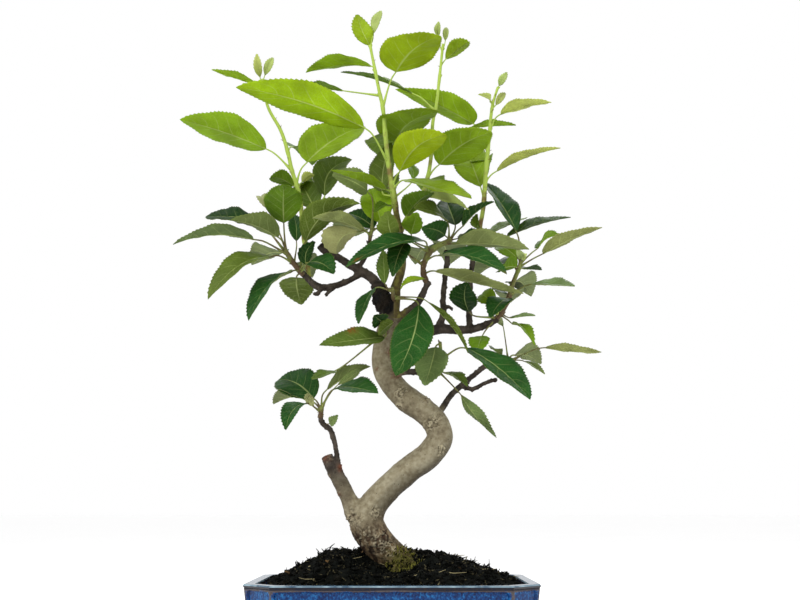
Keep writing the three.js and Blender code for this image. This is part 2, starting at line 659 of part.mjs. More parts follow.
// The leafy shoots. A stem is a limb in green wood; a leaf row says where the view shows the leaf.
const SPRAYS = {
  leader: {
    stems: [[
      [396, 212, 1, 2.2], [394, 197, 2, 2.2], [391, 180, 2, 2.0], [388, 160, 1, 1.9], [385, 131, -1, 1.7],
      [383, 109, -3, 1.5], [379, 90, -4, 1.3], [374, 65, -5, 1.2], [370, 45, -6, 1.0],
    ]],
    leaves: {
      crown: {
        base: [370, 45.5], tip: [357.3, 14.7], deep: [-6, -4], half: 7.7, roll: 10, arch: 1.6, fold: 11,
        sway: 1.6, shear: 0.17, bulge: 0.41,
      },
      crownSmall: {
        base: [373.4, 33.5], tip: [380.8, 11.2], deep: [-7, 2], half: 4.3, roll: 31, sway: -0.9, shear: 0.02,
        bulge: 0.43,
      },
      topRight: {
        stalk: [385, 106], base: [395.9, 72.1], tip: [440.7, 36.3], deep: [-10, -62], half: 18.8, roll: 150,
        arch: 3.5, fold: 14, sway: -4, shear: 0.35, bulge: 0.34,
      },
      topLeft: {
        stalk: [375, 72], base: [371, 66.1], tip: [305.9, 72.7], deep: [-5, 26], half: 12.9, roll: 114,
        arch: 3.8, shear: 0.01, bulge: 0.4,
      },
      bigLime: {
        stalk: [388, 163], base: [363.6, 127.5], tip: [235.9, 87.4], deep: [-12, -34], half: 16.3, roll: 148,
        arch: 5.3, fold: 15, sway: 2.5, shear: -0.07, bulge: 0.44,
      },
      farLeft: {
        stalk: [380, 96], base: [342.7, 90.7], tip: [306.1, 85.3], deep: [16, 36], half: 8.8, roll: 107,
        arch: 0.5, fold: 13, sway: -0.7, shear: 0.03, bulge: 0.43,
      },
      limeRight: {
        stalk: [392, 187], base: [400.1, 171.1], tip: [445.9, 135], deep: [-6, -58], half: 14.6, roll: 160,
        arch: 3.4, fold: 20, sway: -5.8, shear: 0.43, bulge: 0.46,
      },
      limeBack: {
        stalk: [391, 183], base: [397.5, 142.6], tip: [439.3, 111.3], deep: [32, -30], half: 21, roll: 129,
        arch: 2.3, fold: 13, sway: -8.5, shear: 0.1, bulge: 0.41,
      },
      limeLow: {
        stalk: [395, 189], base: [406.3, 180], tip: [471.6, 198.6], deep: [-8, -52], half: 15.1, roll: 72,
        arch: 0.5, fold: 12, sway: -1.2, shear: 0.07, bulge: 0.41,
      },
      leftLow: {
        stalk: [392, 193], base: [385.8, 189.5], tip: [331.2, 170.4], deep: [-4, -44], half: 11.4, roll: 105,
        arch: 0.4, fold: 15, sway: -0.3, shear: 0.19, bulge: 0.46,
      },
      behind: {
        stalk: [393, 196], base: [382.1, 191.6], tip: [390.9, 142.5], deep: [9, 42], half: 11.5, roll: 31,
        arch: 1.7, sway: 1.4, shear: -0.01, bulge: 0.39,
      },
      behindRight: {
        stalk: [393, 197], base: [412.9, 178.2], tip: [407.7, 163.1], deep: [10, 30], half: 4.6, roll: 29,
        arch: 0.7, fold: 18, sway: -1.9, shear: 0.02, bulge: 0.4,
      },
      bright: {
        stalk: [394, 204], base: [390, 206], tip: [375, 213], deep: [-5, -14], half: 5.5, roll: 58,
        bulge: 0.4,
      },
    },
    rear: { from: 0.1, to: 0.62, count: 2, length: 58, half: 14, start: 1.1, toward: 94, spread: 6 },
  },
  secondShoot: {
    stems: [[
      [400, 234, -1, 1.9], [407, 218, 5, 1.9], [415, 206, 10, 1.8], [424, 190, 14, 1.7], [428, 176, 15, 1.6],
      [431, 157, 15, 1.5], [433, 121, 13, 1.4], [436, 107, 12, 1.3], [439, 82, 11, 1.2], [443, 44, 9, 0.9],
    ]],
    leaves: {
      edgeOn: {
        stalk: [435, 112], base: [412, 93.3], tip: [340.7, 72.4], deep: [14, 24], half: 11.9, roll: 90,
        arch: 3.1, fold: 11, sway: 1.9, shear: -0.01, bulge: 0.44,
      },
      tip: {
        stalk: [443, 47], base: [437.9, 36.2], tip: [438.8, 21.7], deep: [9, 6], half: 2.9, roll: 22,
        arch: 3.2, fold: 17, sway: -0.8, shear: 0.02, bulge: 0.4,
      },
      spike: {
        stalk: [443, 47], base: [445.3, 40.4], tip: [445.7, 27.9], deep: [9, 12], half: 2.6, roll: 8,
        arch: 2.3, fold: 21, sway: -0.6, shear: 0.02, bulge: 0.4,
      },
      folded: {
        stalk: [440, 76], base: [445.7, 59.3], tip: [468.4, 41.8], deep: [9, -10], half: 8.3, roll: 152,
        arch: 2.8, fold: 33, sway: 1, shear: -0.04, bulge: 0.46,
      },
      limeWide: {
        stalk: [431, 178], base: [439.2, 164.6], tip: [491.8, 132.3], deep: [8, -46], half: 15.1, roll: 165,
        arch: 2.8, fold: 14, sway: -3.2, shear: 0.42, bulge: 0.39,
      },
      edgeRight: {
        stalk: [432, 152], base: [470.8, 127.6], tip: [516, 125.5], deep: [20, 30], half: 8.4, roll: 105,
        arch: 1.5, fold: 17, sway: 2, shear: 0.09, bulge: 0.41,
      },
      paleUnder: {
        stalk: [415, 207], base: [430, 197], tip: [468, 210], deep: [0, -38], half: 10, roll: 112, bulge: 0.4,
      },
      olive: {
        stalk: [404, 224], base: [405.9, 216.8], tip: [431.2, 193], deep: [0, -30], half: 10.7, roll: 136,
        arch: 3.7, fold: 20, shear: 0.13, bulge: 0.46,
      },
    },
    rear: { from: 0.3, to: 0.45, count: 1, length: 56, half: 14, start: 2.3, toward: 84, spread: 6 },
  },
  rightShoot: {
    stems: [[
      [475, 250, 16, 1.8], [479, 230, 14, 1.8], [483, 210, 12, 1.7], [486, 170, 10, 1.6], [489, 140, 8, 1.4],
      [491, 116, 7, 1.3], [493, 103, 6, 1.1], [498, 87, 5, 0.9],
    ]],
    leaves: {
      tip: {
        stalk: [497, 90], base: [499, 85.6], tip: [506.7, 72.3], deep: [5, 3], half: 3.3, roll: 21, arch: 2.5,
        sway: -1, shear: -0.01, bulge: 0.4,
      },
      curled: {
        stalk: [493, 105], base: [489.9, 101.8], tip: [477.9, 94.7], deep: [5, -6], half: 3.1, roll: 42,
        arch: 4.3, fold: 17, sway: 0.5, shear: 0.01, bulge: 0.4,
      },
      spike: {
        stalk: [493, 109], base: [496, 105], tip: [505, 93], deep: [6, 9], half: 3, roll: 10, bulge: 0.4,
      },
      highRight: {
        stalk: [490, 132], base: [501, 114], tip: [551.3, 102.6], deep: [3, -34], half: 9.8, roll: 115,
        arch: 2.2, fold: 15, sway: 0.5, shear: -0.01, bulge: 0.44,
      },
      right: {
        stalk: [485, 183], base: [497.4, 170.8], tip: [560.5, 148.2], deep: [8, -30], half: 8.8, roll: 106,
        arch: 2.9, fold: 20, sway: 0.4, bulge: 0.43,
      },
      lime: {
        stalk: [484, 200], base: [480.5, 186.7], tip: [466.8, 149.5], deep: [15, 52], half: 15.3, roll: 5,
        arch: 2.9, fold: 18, sway: 0.4, bulge: 0.46,
      },
      bigGreen: {
        stalk: [488, 152], base: [473.6, 123.8], tip: [395.3, 89.3], deep: [38, 50], half: 13.9, roll: 139,
        arch: 3.4, fold: 20, sway: 0.5, shear: -0.48, bulge: 0.34,
      },
      lowRight: {
        stalk: [480, 228], base: [491.9, 232.3], tip: [526.3, 218.4], deep: [24, 46], half: 9.5, roll: 77,
        arch: 1.3, fold: 10, sway: -1.2, shear: -0.25, bulge: 0.4,
      },
      edgeDark: {
        stalk: [477, 244], base: [507.3, 236.2], tip: [570.8, 217.5], deep: [22, 34], half: 11.6, roll: 77,
        arch: 2.7, fold: 14, sway: -0.6, shear: 0.03, bulge: 0.43,
      },
      small: {
        stalk: [479, 232], base: [479.4, 228.6], tip: [477.5, 213.8], deep: [10, 2], half: 4.3, roll: 37,
        arch: 2.9, sway: 0.5, shear: 0.01, bulge: 0.43,
      },
    },
    rear: { from: 0.3, to: 0.62, count: 1, length: 54, half: 13, start: 0.6, toward: 98, spread: 10 },
  },
  leftShoot: {
    stems: [[
      [309, 278, 6, 2.0], [306, 252, 9, 2.0], [303, 226, 8, 1.9], [300, 200, 7, 1.8], [297, 186, 6, 1.7],
      [292, 171, 5, 1.6], [288, 153, 4, 1.5], [281, 131, 3, 1.4], [268, 107, 2, 1.2], [262, 79, 0, 0.9],
    ]],
    leaves: {
      tip: {
        stalk: [262, 84], base: [260, 77], tip: [257, 54], deep: [0, -3], half: 3.4, roll: 10, bulge: 0.4,
      },
      tipRight: {
        stalk: [262, 83], base: [265, 75], tip: [273, 58], deep: [0, 4], half: 3.4, roll: 12, bulge: 0.4,
      },
      highLeft: {
        stalk: [264, 92], base: [255.9, 84.2], tip: [211.6, 70], deep: [-2, -26], half: 7.3, roll: 112,
        arch: 0.4, fold: 14, sway: -0.8, shear: 0.22, bulge: 0.46,
      },
      left: {
        stalk: [290, 171], base: [266.1, 148.8], tip: [179.8, 119.6], deep: [0, -22], half: 16.8, roll: 137,
        fold: 15, shear: 0.01, bulge: 0.43,
      },
      limeRight: {
        stalk: [298, 184], base: [307.2, 162.2], tip: [364, 126.3], deep: [8, 32], half: 18, roll: 33,
        arch: 3.1, fold: 26, sway: 2.3, shear: -0.43, bulge: 0.39,
      },
      smallLeft: {
        stalk: [298, 190], base: [293.9, 186.4], tip: [270.5, 178.1], deep: [3, -26], half: 6.8, roll: 153,
        arch: 3.6, fold: 20, sway: 0.9, shear: 0.11, bulge: 0.44,
      },
      paleSmall: {
        stalk: [298, 187], base: [302, 182], tip: [313, 175], deep: [7, -4], half: 4, roll: 150, bulge: 0.4,
      },
      darkCurl: {
        stalk: [303, 222], base: [314, 208], tip: [301, 184], deep: [14, 40], half: 12.5, roll: 10,
        bulge: 0.4,
      },
      darkArch: {
        stalk: [305, 240], base: [324.8, 195.7], tip: [351.9, 159.8], deep: [16, 44], half: 12.9, roll: 26,
        arch: 2.9, fold: 22, sway: 7.8, bulge: 0.44,
      },
    },
    rear: { from: 0.3, to: 0.8, count: 2, length: 56, half: 14, start: 1.9, toward: 84, spread: 16 },
  },
  leftSpur: {
    stems: [[
      [303, 275, 0, 1.9], [299, 270, -2, 1.9], [292, 261, -4, 1.8], [285, 250, -6, 1.5],
    ]],
    leaves: {
      diamond: {
        stalk: [286, 251], base: [283.8, 223.1], tip: [283.8, 185.1], deep: [-10, -62], half: 14.9, roll: 179,
        arch: 2.3, fold: 17, sway: -0.4, shear: 0.02, bulge: 0.4,
      },
      farLeft: {
        stalk: [286, 256], base: [253.5, 239.4], tip: [173.1, 244.6], deep: [-10, -34], half: 12.5, roll: 109,
        arch: 5.8, fold: 15, sway: 0.7, bulge: 0.43,
      },
      arched: {
        stalk: [293, 265], base: [270.4, 256.7], tip: [208, 299.5], deep: [-12, -44], half: 13.2, roll: 58,
        arch: 9, fold: 17, sway: 0.4, shear: 0.07, bulge: 0.4,
      },
      darkArch: {
        stalk: [299, 271], base: [291, 272.1], tip: [248.7, 320.8], deep: [-8, -44], half: 12.2, roll: 63,
        arch: 7.2, fold: 18, sway: 1.1, bulge: 0.4,
      },
      hanging: {
        stalk: [301, 272], base: [296.4, 277.8], tip: [301.4, 304.8], deep: [3, 40], half: 13.9, roll: 188,
        arch: 2.2, fold: 12, sway: 1.3, shear: -0.06, bulge: 0.45,
      },
      greyGreen: {
        stalk: [285, 252], base: [278.3, 237.3], tip: [229.7, 220.5], deep: [-6, -44], half: 13.2, roll: 122,
        arch: 3.6, fold: 21, sway: 0.2, shear: 0.03, bulge: 0.44,
      },
      darkBack: {
        stalk: [288, 256], base: [252.7, 218.3], tip: [206.2, 216.6], deep: [20, 42], half: 12.7, roll: 64,
        arch: 1.8, fold: 13, sway: 2.8, shear: -0.18, bulge: 0.47,
      },
      paleBack: {
        stalk: [287, 254], base: [269.9, 210.5], tip: [260.7, 196.9], deep: [12, 24], half: 5.7, roll: 21,
        arch: 4.6, fold: 25, sway: 0.8, shear: -0.07, bulge: 0.45,
      },
      darkUp: {
        stalk: [294, 264], base: [296.5, 240.9], tip: [292.6, 215.4], deep: [16, 42], half: 6.2, roll: 3,
        arch: 2.8, fold: 17, sway: -1.7, shear: 0.09, bulge: 0.4,
      },
      darkLow: {
        stalk: [300, 271], base: [309.5, 262.8], tip: [333.8, 274.2], deep: [-14, -32], half: 10.2, roll: 41,
        arch: 3.6, fold: 15, sway: 1.3, shear: 0.07, bulge: 0.41,
      },
      darkMid: {
        stalk: [301, 272], base: [306, 264.6], tip: [315.4, 241.9], deep: [-10, -8], half: 6, roll: 26,
        arch: 2.3, fold: 12, sway: 2.6, shear: -0.09, bulge: 0.41,
      },
      big: {
        stalk: [302, 272], base: [305.9, 241.2], tip: [359.9, 203.6], deep: [0, -34], half: 12.4, roll: 146,
        arch: 4.7, fold: 24, sway: -7.4, shear: 0.2, bulge: 0.43,
      },
    },
    rear: { from: 0.3, to: 0.9, count: 2, length: 52, half: 13, start: 0.3, toward: 104, spread: 26 },
  },
  leftCentre: {
    stems: [[
      [370, 246, 5, 1.5], [370, 238, 4, 1.5], [372, 230, 3, 1.2],
    ]],
    leaves: {
      pale: {
        stalk: [372, 232], base: [366.9, 232.6], tip: [312.4, 218.4], deep: [2, -52], half: 9.4, roll: 120,
        arch: 5, fold: 12, sway: -1, shear: 0.43, bulge: 0.52,
      },
      drooping: {
        stalk: [371, 235], base: [359.2, 231.9], tip: [336.2, 253.9], deep: [-4, -13], half: 12.7, roll: 148,
        arch: 4.8, fold: 28, sway: 4.4, shear: 0.31, bulge: 0.56,
      },
      dark: {
        stalk: [372, 232], base: [374, 228], tip: [348, 214], deep: [10, 30], half: 11, roll: 40, bulge: 0.4,
      },
      greyBack: {
        stalk: [372, 230], base: [367, 191], tip: [332, 175], deep: [10, -4], half: 12, roll: 42, bulge: 0.4,
      },
      darkUp: {
        stalk: [372, 230], base: [381, 223], tip: [371, 189], deep: [10, 34], half: 13, roll: 10, bulge: 0.4,
      },
    },
    rear: { from: 0.3, to: 0.9, count: 1, length: 56, half: 14, start: 2.0, toward: 110, spread: 20 },
  },
  centre: {
    stems: [[
      [427, 284, -8, 2.1], [423, 271, -8, 2.0], [425, 261, -8, 2.0], [430, 252, -7, 2.1], [440, 245, -4, 2.2],
      [451, 240, -1, 1.7],
    ]],
    leaves: {
      oliveRight: {
        stalk: [435, 249], base: [456.1, 243.7], tip: [529, 249.5], deep: [-12, -44], half: 14.5, roll: 117,
        arch: 2.8, fold: 15, sway: 0.5, shear: -0.08, bulge: 0.44,
      },
      darkRight: {
        stalk: [425, 262], base: [439.7, 255.6], tip: [506.8, 274.4], deep: [-16, -64], half: 11.9, roll: 62,
        arch: 5.4, fold: 20, sway: 1.2, shear: 0.01, bulge: 0.4,
      },
      oliveLow: {
        stalk: [423, 274], base: [435.9, 271.2], tip: [523.3, 293.9], deep: [-12, -30], half: 12.4, roll: 110,
        arch: 0.6, fold: 12, sway: 2.5, shear: 0.06, bulge: 0.41,
      },
      yellow: {
        stalk: [425, 279], base: [424.6, 279], tip: [401.1, 289.2], deep: [-12, -26], half: 3, roll: 139,
        arch: 4.3, fold: 21, sway: 0.7, shear: 0.02, bulge: 0.44,
      },
      longLeft: {
        stalk: [427, 256], base: [423, 240.6], tip: [345.5, 267.6], deep: [-14, -52], half: 11.9, roll: 61,
        arch: 7, sway: 2.2, shear: 0.14, bulge: 0.39,
      },
      darkDown: {
        stalk: [429, 253], base: [404.8, 243.2], tip: [392.8, 276.9], deep: [-24, -48], half: 8.5, roll: 15,
        arch: 3.1, fold: 17, sway: -0.7, shear: -0.01, bulge: 0.41,
      },
      darkTop: {
        stalk: [451, 240], base: [455.3, 225.2], tip: [445.5, 198.6], deep: [2, 46], half: 10.8, roll: 13,
        arch: 1.7, fold: 14, sway: 0.3, shear: 0.17, bulge: 0.38,
      },
      midTop: {
        stalk: [449, 241], base: [445, 219], tip: [414, 209], deep: [-4, -38], half: 10, roll: 60, bulge: 0.4,
      },
      darkHang: {
        stalk: [450, 240], base: [444.5, 235.4], tip: [421.4, 227.7], deep: [-6, -36], half: 8.7, roll: 2,
        arch: 2.2, sway: -1.8, shear: 0.47, bulge: 0.53,
      },
      greenUp: {
        stalk: [433, 250], base: [411.1, 234], tip: [416.8, 212.2], deep: [-10, -24], half: 9, roll: 26,
        arch: 0.8, fold: 19, sway: -0.7, shear: -0.29, bulge: 0.49,
      },
      edgeDark: {
        stalk: [451, 240], base: [462.8, 226.1], tip: [494, 202.1], deep: [-2, -16], half: 11.5, roll: 103,
        sway: 0.8, shear: -0.04, bulge: 0.43,
      },
      lowDark: {
        stalk: [450, 240], base: [459.1, 238.1], tip: [482.1, 232.5], deep: [-5, -16], half: 6.9, roll: 79,
        arch: 1.8, fold: 17, sway: -1.7, bulge: 0.43,
      },
      oliveUp: {
        stalk: [424, 266], base: [392, 236], tip: [388, 211], deep: [-16, -24], half: 9, roll: 20, bulge: 0.4,
      },
    },
    rear: { from: 0.4, to: 0.9, count: 2, length: 56, half: 14, start: 0.9, toward: 110, spread: 30 },
  },
  right: {
    stems: [[
      [495, 320, 8, 1.9], [501, 313, 7, 2.0], [508, 300, 4, 1.9], [511, 289, 2, 1.8], [515, 278, 0, 1.7],
      [519, 268, -2, 1.6], [521, 261, -3, 1.2],
    ]],
    leaves: {
      darkUp: {
        stalk: [520, 264], base: [515.9, 231.1], tip: [482.9, 182.3], deep: [4, 36], half: 14, roll: 59,
        arch: 3.5, fold: 17, sway: 1.3, shear: -0.04, bulge: 0.46,
      },
      paleRight: {
        stalk: [519, 267], base: [543.2, 253.6], tip: [602.1, 227.8], deep: [-10, -46], half: 8.9, roll: 119,
        arch: 2.4, shear: 0.15, bulge: 0.4,
      },
      secondRight: {
        stalk: [520, 264], base: [538, 248], tip: [558, 235], deep: [4, 22], half: 8, roll: 102, bulge: 0.4,
      },
      edgeDark: {
        stalk: [519, 268], base: [522.9, 268.6], tip: [541.6, 270.2], deep: [6, 26], half: 7.1, roll: 100,
        arch: 0.8, fold: 15, sway: 1.6, shear: 0.02, bulge: 0.4,
      },
      lowGreen: {
        stalk: [518, 270], base: [517, 267], tip: [500, 272], deep: [-4, -22], half: 9, roll: 118, bulge: 0.4,
      },
      upGreen: {
        stalk: [520, 264], base: [517, 258], tip: [497, 247], deep: [4, 24], half: 9, roll: 42, bulge: 0.4,
      },
      young: {
        stalk: [521, 263], base: [520, 259], tip: [516.5, 250], deep: [-4, -5], half: 3, roll: 20, bulge: 0.4,
      },
      spike: {
        stalk: [521, 262], base: [523, 261], tip: [526, 254], deep: [-3, -1], half: 2.4, roll: 20, bulge: 0.4,
      },
      low: {
        stalk: [509, 297], base: [533.3, 284], tip: [574.7, 286.5], deep: [-4, -32], half: 9.3, roll: 72,
        arch: 0.8, fold: 15, sway: -0.6, bulge: 0.4,
      },
      darkFold: {
        stalk: [509, 299], base: [507, 299], tip: [490.5, 318], deep: [-2, -22], half: 10, roll: 40,
        bulge: 0.4,
      },
      limeBack: {
        stalk: [508, 302], base: [495.8, 301.5], tip: [482.1, 294.3], deep: [12, 28], half: 7.6, roll: 20,
        arch: 3.2, sway: 1.6, shear: -0.02, bulge: 0.39,
      },
      hook: {
        stalk: [500, 315], base: [512.9, 324.3], tip: [534.1, 345.5], deep: [3, -16], half: 6.5, roll: 62,
        arch: 5.2, fold: 20, sway: -2.3, shear: -0.06, bulge: 0.46,
      },
      blade: {
        stalk: [501, 313], base: [511, 317.9], tip: [535.2, 316], deep: [10, 24], half: 5.8, roll: 97,
        arch: 1, fold: 13, sway: 0.8, shear: 0.06, bulge: 0.4,
      },
      bud: {
        stalk: [497, 318], base: [497, 315], tip: [498, 307], deep: [6, 5], half: 2.6, roll: 20, bulge: 0.4,
      },
      darkSpur: {
        stalk: [497, 318], base: [469.2, 311.3], tip: [467.7, 282.3], deep: [-6, -34], half: 11.1, roll: 21,
        arch: 0.1, fold: 11, sway: 3.1, shear: -0.08, bulge: 0.47,
      },
      limeSpur: {
        stalk: [496, 319], base: [482.1, 336.3], tip: [476.6, 353.5], deep: [2, -16], half: 8.6, roll: 27,
        arch: 1.9, fold: 12, sway: 0.5, shear: 0.22, bulge: 0.47,
      },
    },
    rear: { from: 0.2, to: 0.9, count: 3, length: 54, half: 13, start: 1.4, toward: 88, spread: 30 },
  },
  farRight: {
    stems: [[
      [499, 362, 24, 1.7], [506, 361, 23, 1.8], [513, 360, 20, 1.4],
    ]],
    leaves: {
      long: {
        stalk: [512, 360], base: [545.7, 347.7], tip: [601.3, 352.4], deep: [12, -12], half: 7.9, roll: 113,
        arch: 0.1, fold: 13, sway: 1.4, shear: -0.03, bulge: 0.44,
      },
      twisted: {
        stalk: [512, 361], base: [525.2, 361.7], tip: [544.7, 374.5], deep: [16, -6], half: 3.5, roll: 52,
        arch: 1.5, fold: 22, sway: -0.6, shear: 0.09, bulge: 0.44,
      },
      paleBit: {
        stalk: [512, 360], base: [519.6, 356.5], tip: [522.6, 354.3], deep: [19, 12], half: 3.3, roll: 153,
        arch: -1.4, fold: 14, sway: 3, shear: 0.01, bulge: 0.43,
      },
      tall: {
        stalk: [508, 360], base: [503, 326], tip: [499.5, 309], deep: [20, 16], half: 3, roll: 150,
        bulge: 0.4,
      },
      curved: {
        stalk: [506, 361], base: [501.2, 357], tip: [490.7, 348.9], deep: [22, 12], half: 7, roll: 104,
        arch: 1.9, fold: 17, sway: -2, shear: 0.11, bulge: 0.43,
      },
    },
    rear: { from: 0.3, to: 0.9, count: 1, length: 50, half: 13, start: 0.4, toward: 70, spread: 20 },
  },
  lowRight: {
    stems: [[
      [430, 373, -10, 1.6], [437, 370, -11, 1.5], [441, 358, -10, 1.3], [440, 342, -8, 1.1],
    ]],
    leaves: {
      longDark: {
        stalk: [441, 360], base: [466.6, 348.4], tip: [530.2, 399.8], deep: [-14, -66], half: 14, roll: 53,
        arch: 2.8, fold: 15, sway: 1.9, shear: -0.03, bulge: 0.47,
      },
      hanging: {
        stalk: [437, 370], base: [461.3, 395.3], tip: [496.4, 437.8], deep: [-14, 6], half: 7, roll: 129,
        arch: -2, sway: -0.1, twist: 80, shear: -0.06, bulge: 0.52,
      },
      small: {
        stalk: [438, 370], base: [444, 372.8], tip: [466.8, 386.7], deep: [-14, -24], half: 7.9, roll: 68,
        arch: 2.3, sway: -0.6, shear: 0.03, bulge: 0.44,
      },
      lime: {
        stalk: [440, 344], base: [435.4, 347.4], tip: [424.7, 385.7], deep: [-13, -32], half: 12.6, roll: 15,
        arch: 2.3, fold: 14, sway: 1.2, shear: -0.01, bulge: 0.47,
      },
    },
  },
  front: {
    stems: [[
      [394, 300, -6, 1.6], [393, 295, -12, 1.5], [392, 287, -14, 1.1],
    ]],
    leaves: {
      big: {
        stalk: [393, 298], base: [418.8, 305.4], tip: [395.7, 376.1], deep: [-20, -66], half: 14.8, roll: 18,
        arch: 0.1, fold: 6, sway: 3.4, shear: -0.01, bulge: 0.49,
      },
      olive: {
        stalk: [392, 291], base: [384.9, 283.5], tip: [383, 250.6], deep: [-14, -4], half: 5.7, roll: 24,
        arch: 2.3, fold: 17, sway: -1.1, shear: -0.02, bulge: 0.43,
      },
      darkLow: {
        stalk: [392, 292], base: [373.8, 289.1], tip: [358.9, 324], deep: [-16, -40], half: 8, roll: 56,
        arch: 2.9, fold: 15, sway: 1.3, shear: -0.01, bulge: 0.43,
      },
      edge: {
        stalk: [393, 297], base: [429, 302.8], tip: [467.8, 353.2], deep: [-16, -34], half: 5.2, roll: 111,
        arch: 4.2, fold: 21, sway: 2.2, shear: -0.07, bulge: 0.46,
      },
    },
  },
  trunkLeft: {
    stems: [[
      [387, 334, 0, 1.6], [386, 332, -8, 1.6], [385, 330, -13, 1.1],
    ]],
    leaves: {
      scarred: {
        stalk: [385, 331], base: [383.7, 337.4], tip: [319.2, 345.4], deep: [-16, -46], half: 10.7, roll: 49,
        arch: 2.3, fold: 19, sway: 2, shear: 0.08, bulge: 0.41,
      },
      dark: {
        stalk: [385, 331], base: [382.3, 321.9], tip: [373.8, 315.1], deep: [-20, -36], half: 7, roll: -4,
        arch: 1.4, sway: 0.1, shear: 0.24, bulge: 0.52,
      },
      pale: {
        stalk: [385, 331], base: [393.6, 321.7], tip: [378.7, 334.5], deep: [-18, -32], half: 5.5, roll: 141,
        arch: 1.1, fold: 19, sway: 0.1, shear: 0.01, bulge: 0.41,
      },
      low: {
        stalk: [385, 332], base: [334.2, 371.2], tip: [311.8, 379.5], deep: [-26, -36], half: 7.7, roll: 67,
        arch: 0.6, fold: 13, sway: 1.4, shear: -0.05, bulge: 0.44,
      },
    },
  },
  stump: {
    stems: [[
      [320, 418, -2, 1.7], [321, 412, -3, 1.7], [322, 406, -4, 1.3],
    ]],
    leaves: {
      darkLeft: {
        stalk: [321, 410], base: [313.8, 398.5], tip: [278, 380.7], deep: [2, 44], half: 13.9, roll: 18,
        arch: 4.1, fold: 19, sway: -3.4, shear: 0.48, bulge: 0.4,
      },
      pale: {
        stalk: [321, 409], base: [313.6, 406.2], tip: [308.3, 393.6], deep: [-6, -12], half: 3.5, roll: 164,
        arch: 1.9, sway: -1.9, shear: 0.01, bulge: 0.44,
      },
      hanging: {
        stalk: [320, 412], base: [304.6, 403.9], tip: [285.9, 430.2], deep: [-8, -40], half: 8.1, roll: 39,
        arch: 4, fold: 23, sway: -2, shear: 0.01, bulge: 0.4,
      },
      long: {
        stalk: [322, 408], base: [337, 388], tip: [378.3, 393.5], deep: [-12, -46], half: 11.5, roll: 59,
        arch: 2.9, fold: 14, sway: -1.3, shear: 0.04, bulge: 0.44,
      },
      greyUp: {
        stalk: [322, 409], base: [327.3, 389.2], tip: [370.5, 366.7], deep: [4, 30], half: 10, roll: 117,
        arch: 3.1, fold: 17, sway: 1, shear: 0.11, bulge: 0.41,
      },
      lime: {
        stalk: [322, 407], base: [338.1, 384.8], tip: [359, 368.7], deep: [-4, -18], half: 3.8, roll: 149,
        arch: 2.6, fold: 15, sway: 2.8, shear: 0.02, bulge: 0.45,
      },
      budLeaf: {
        stalk: [320, 417], base: [329.8, 423.6], tip: [338, 414.9], deep: [-4, -8], half: 3.6, roll: 18,
        arch: 2.6, fold: 17, sway: -1, shear: 0.02, bulge: 0.4,
      },
    },
    rear: { from: 0.4, to: 0.9, count: 1, length: 46, half: 12, start: 2.6, toward: 120, spread: 20 },
  },
};

function makeSpray({ stems: runs, leaves, rear }, woodSpace) {
  const stems = runs.map((run) => limbCurve(run));
  const pieces = stems.map((stem, i) => bentTube(stem, 5, Math.round(1.4 * (runs[i].length - 1))));
  for (const leaf of Object.values(leaves)) pieces.push(seenLeaf(stems, leaf));
  for (let step = 0; step < (rear?.count ?? 0); step += 1) pieces.push(rearLeaf(stems[0], rear, step));
  return largestBody(joined(pieces).subtract(woodSpace));
}

const glaze = new THREE.MeshStandardMaterial({ color: 0x1f4f86, roughness: 0.25, metalness: 0 });
const plastic = new THREE.MeshStandardMaterial({ color: 0x2b2b2b, roughness: 0.7, metalness: 0 });
const earth = new THREE.MeshStandardMaterial({ color: 0x15120e, roughness: 0.95, metalness: 0 });
const bark = new THREE.MeshStandardMaterial({ color: 0x8a8168, roughness: 0.85, metalness: 0 });
const youngGreen = new THREE.MeshStandardMaterial({ color: 0x86a52c, roughness: 0.5, metalness: 0 });
const darkGreen = new THREE.MeshStandardMaterial({ color: 0x2f5a2a, roughness: 0.45, metalness: 0 });

const YOUNG = ['leader', 'secondShoot', 'rightShoot', 'leftShoot'];

function nodeMesh(name, solid, material) {
  const mesh = new THREE.Mesh(geometryOf(solid), material.clone());
  mesh.name = name;
  return mesh;
}

const wood = makeWood(0);
const woodSpace = makeWood(SEAT_GAP);

const bonsai = new THREE.Group();
bonsai.add(nodeMesh('pot', makePot(), glaze));
bonsai.add(nodeMesh('drain_mesh_left', makeDrainMesh(-1), plastic));
bonsai.add(nodeMesh('drain_mesh_right', makeDrainMesh(1), plastic));
bonsai.add(nodeMesh('soil', makeSoil(woodSpace), earth));
bonsai.add(nodeMesh('trunk', wood, bark));
for (const [name, spray] of Object.entries(SPRAYS)) {
  const material = YOUNG.includes(name) ? youngGreen : darkGreen;
  bonsai.add(nodeMesh(`spray_${name}`, makeSpray(spray, woodSpace), material));
}

// The origin is under the middle of the whole tree and pot, on the surface that the pot stands on
const extent = new THREE.Box3().setFromObject(bonsai);
const centre = extent.getCenter(new THREE.Vector3());
bonsai.position.set(-centre.x, -centre.y, -extent.min.z);

export default bonsai;
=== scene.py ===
"""An apple bonsai in a glazed pot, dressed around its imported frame.

The tree is drawn in millimetres from one view of it. A place in the tree is the pixel where that view
shows it and its depth behind the pot's middle plane, as in the part's own source. Finished meshes are
in metres, in the frame's place.
"""

import logging
import math
import random
from collections.abc import Callable, Iterable, Sequence
from dataclasses import dataclass, field
from enum import Enum

import bmesh
import bpy
from bmesh.types import BMEdge, BMesh, BMFace, BMLayerItem, BMVert
from bpy.types import Material, Mesh, Node, NodeSocket, Object
from mathutils import Matrix, Quaternion, Vector, kdtree, noise


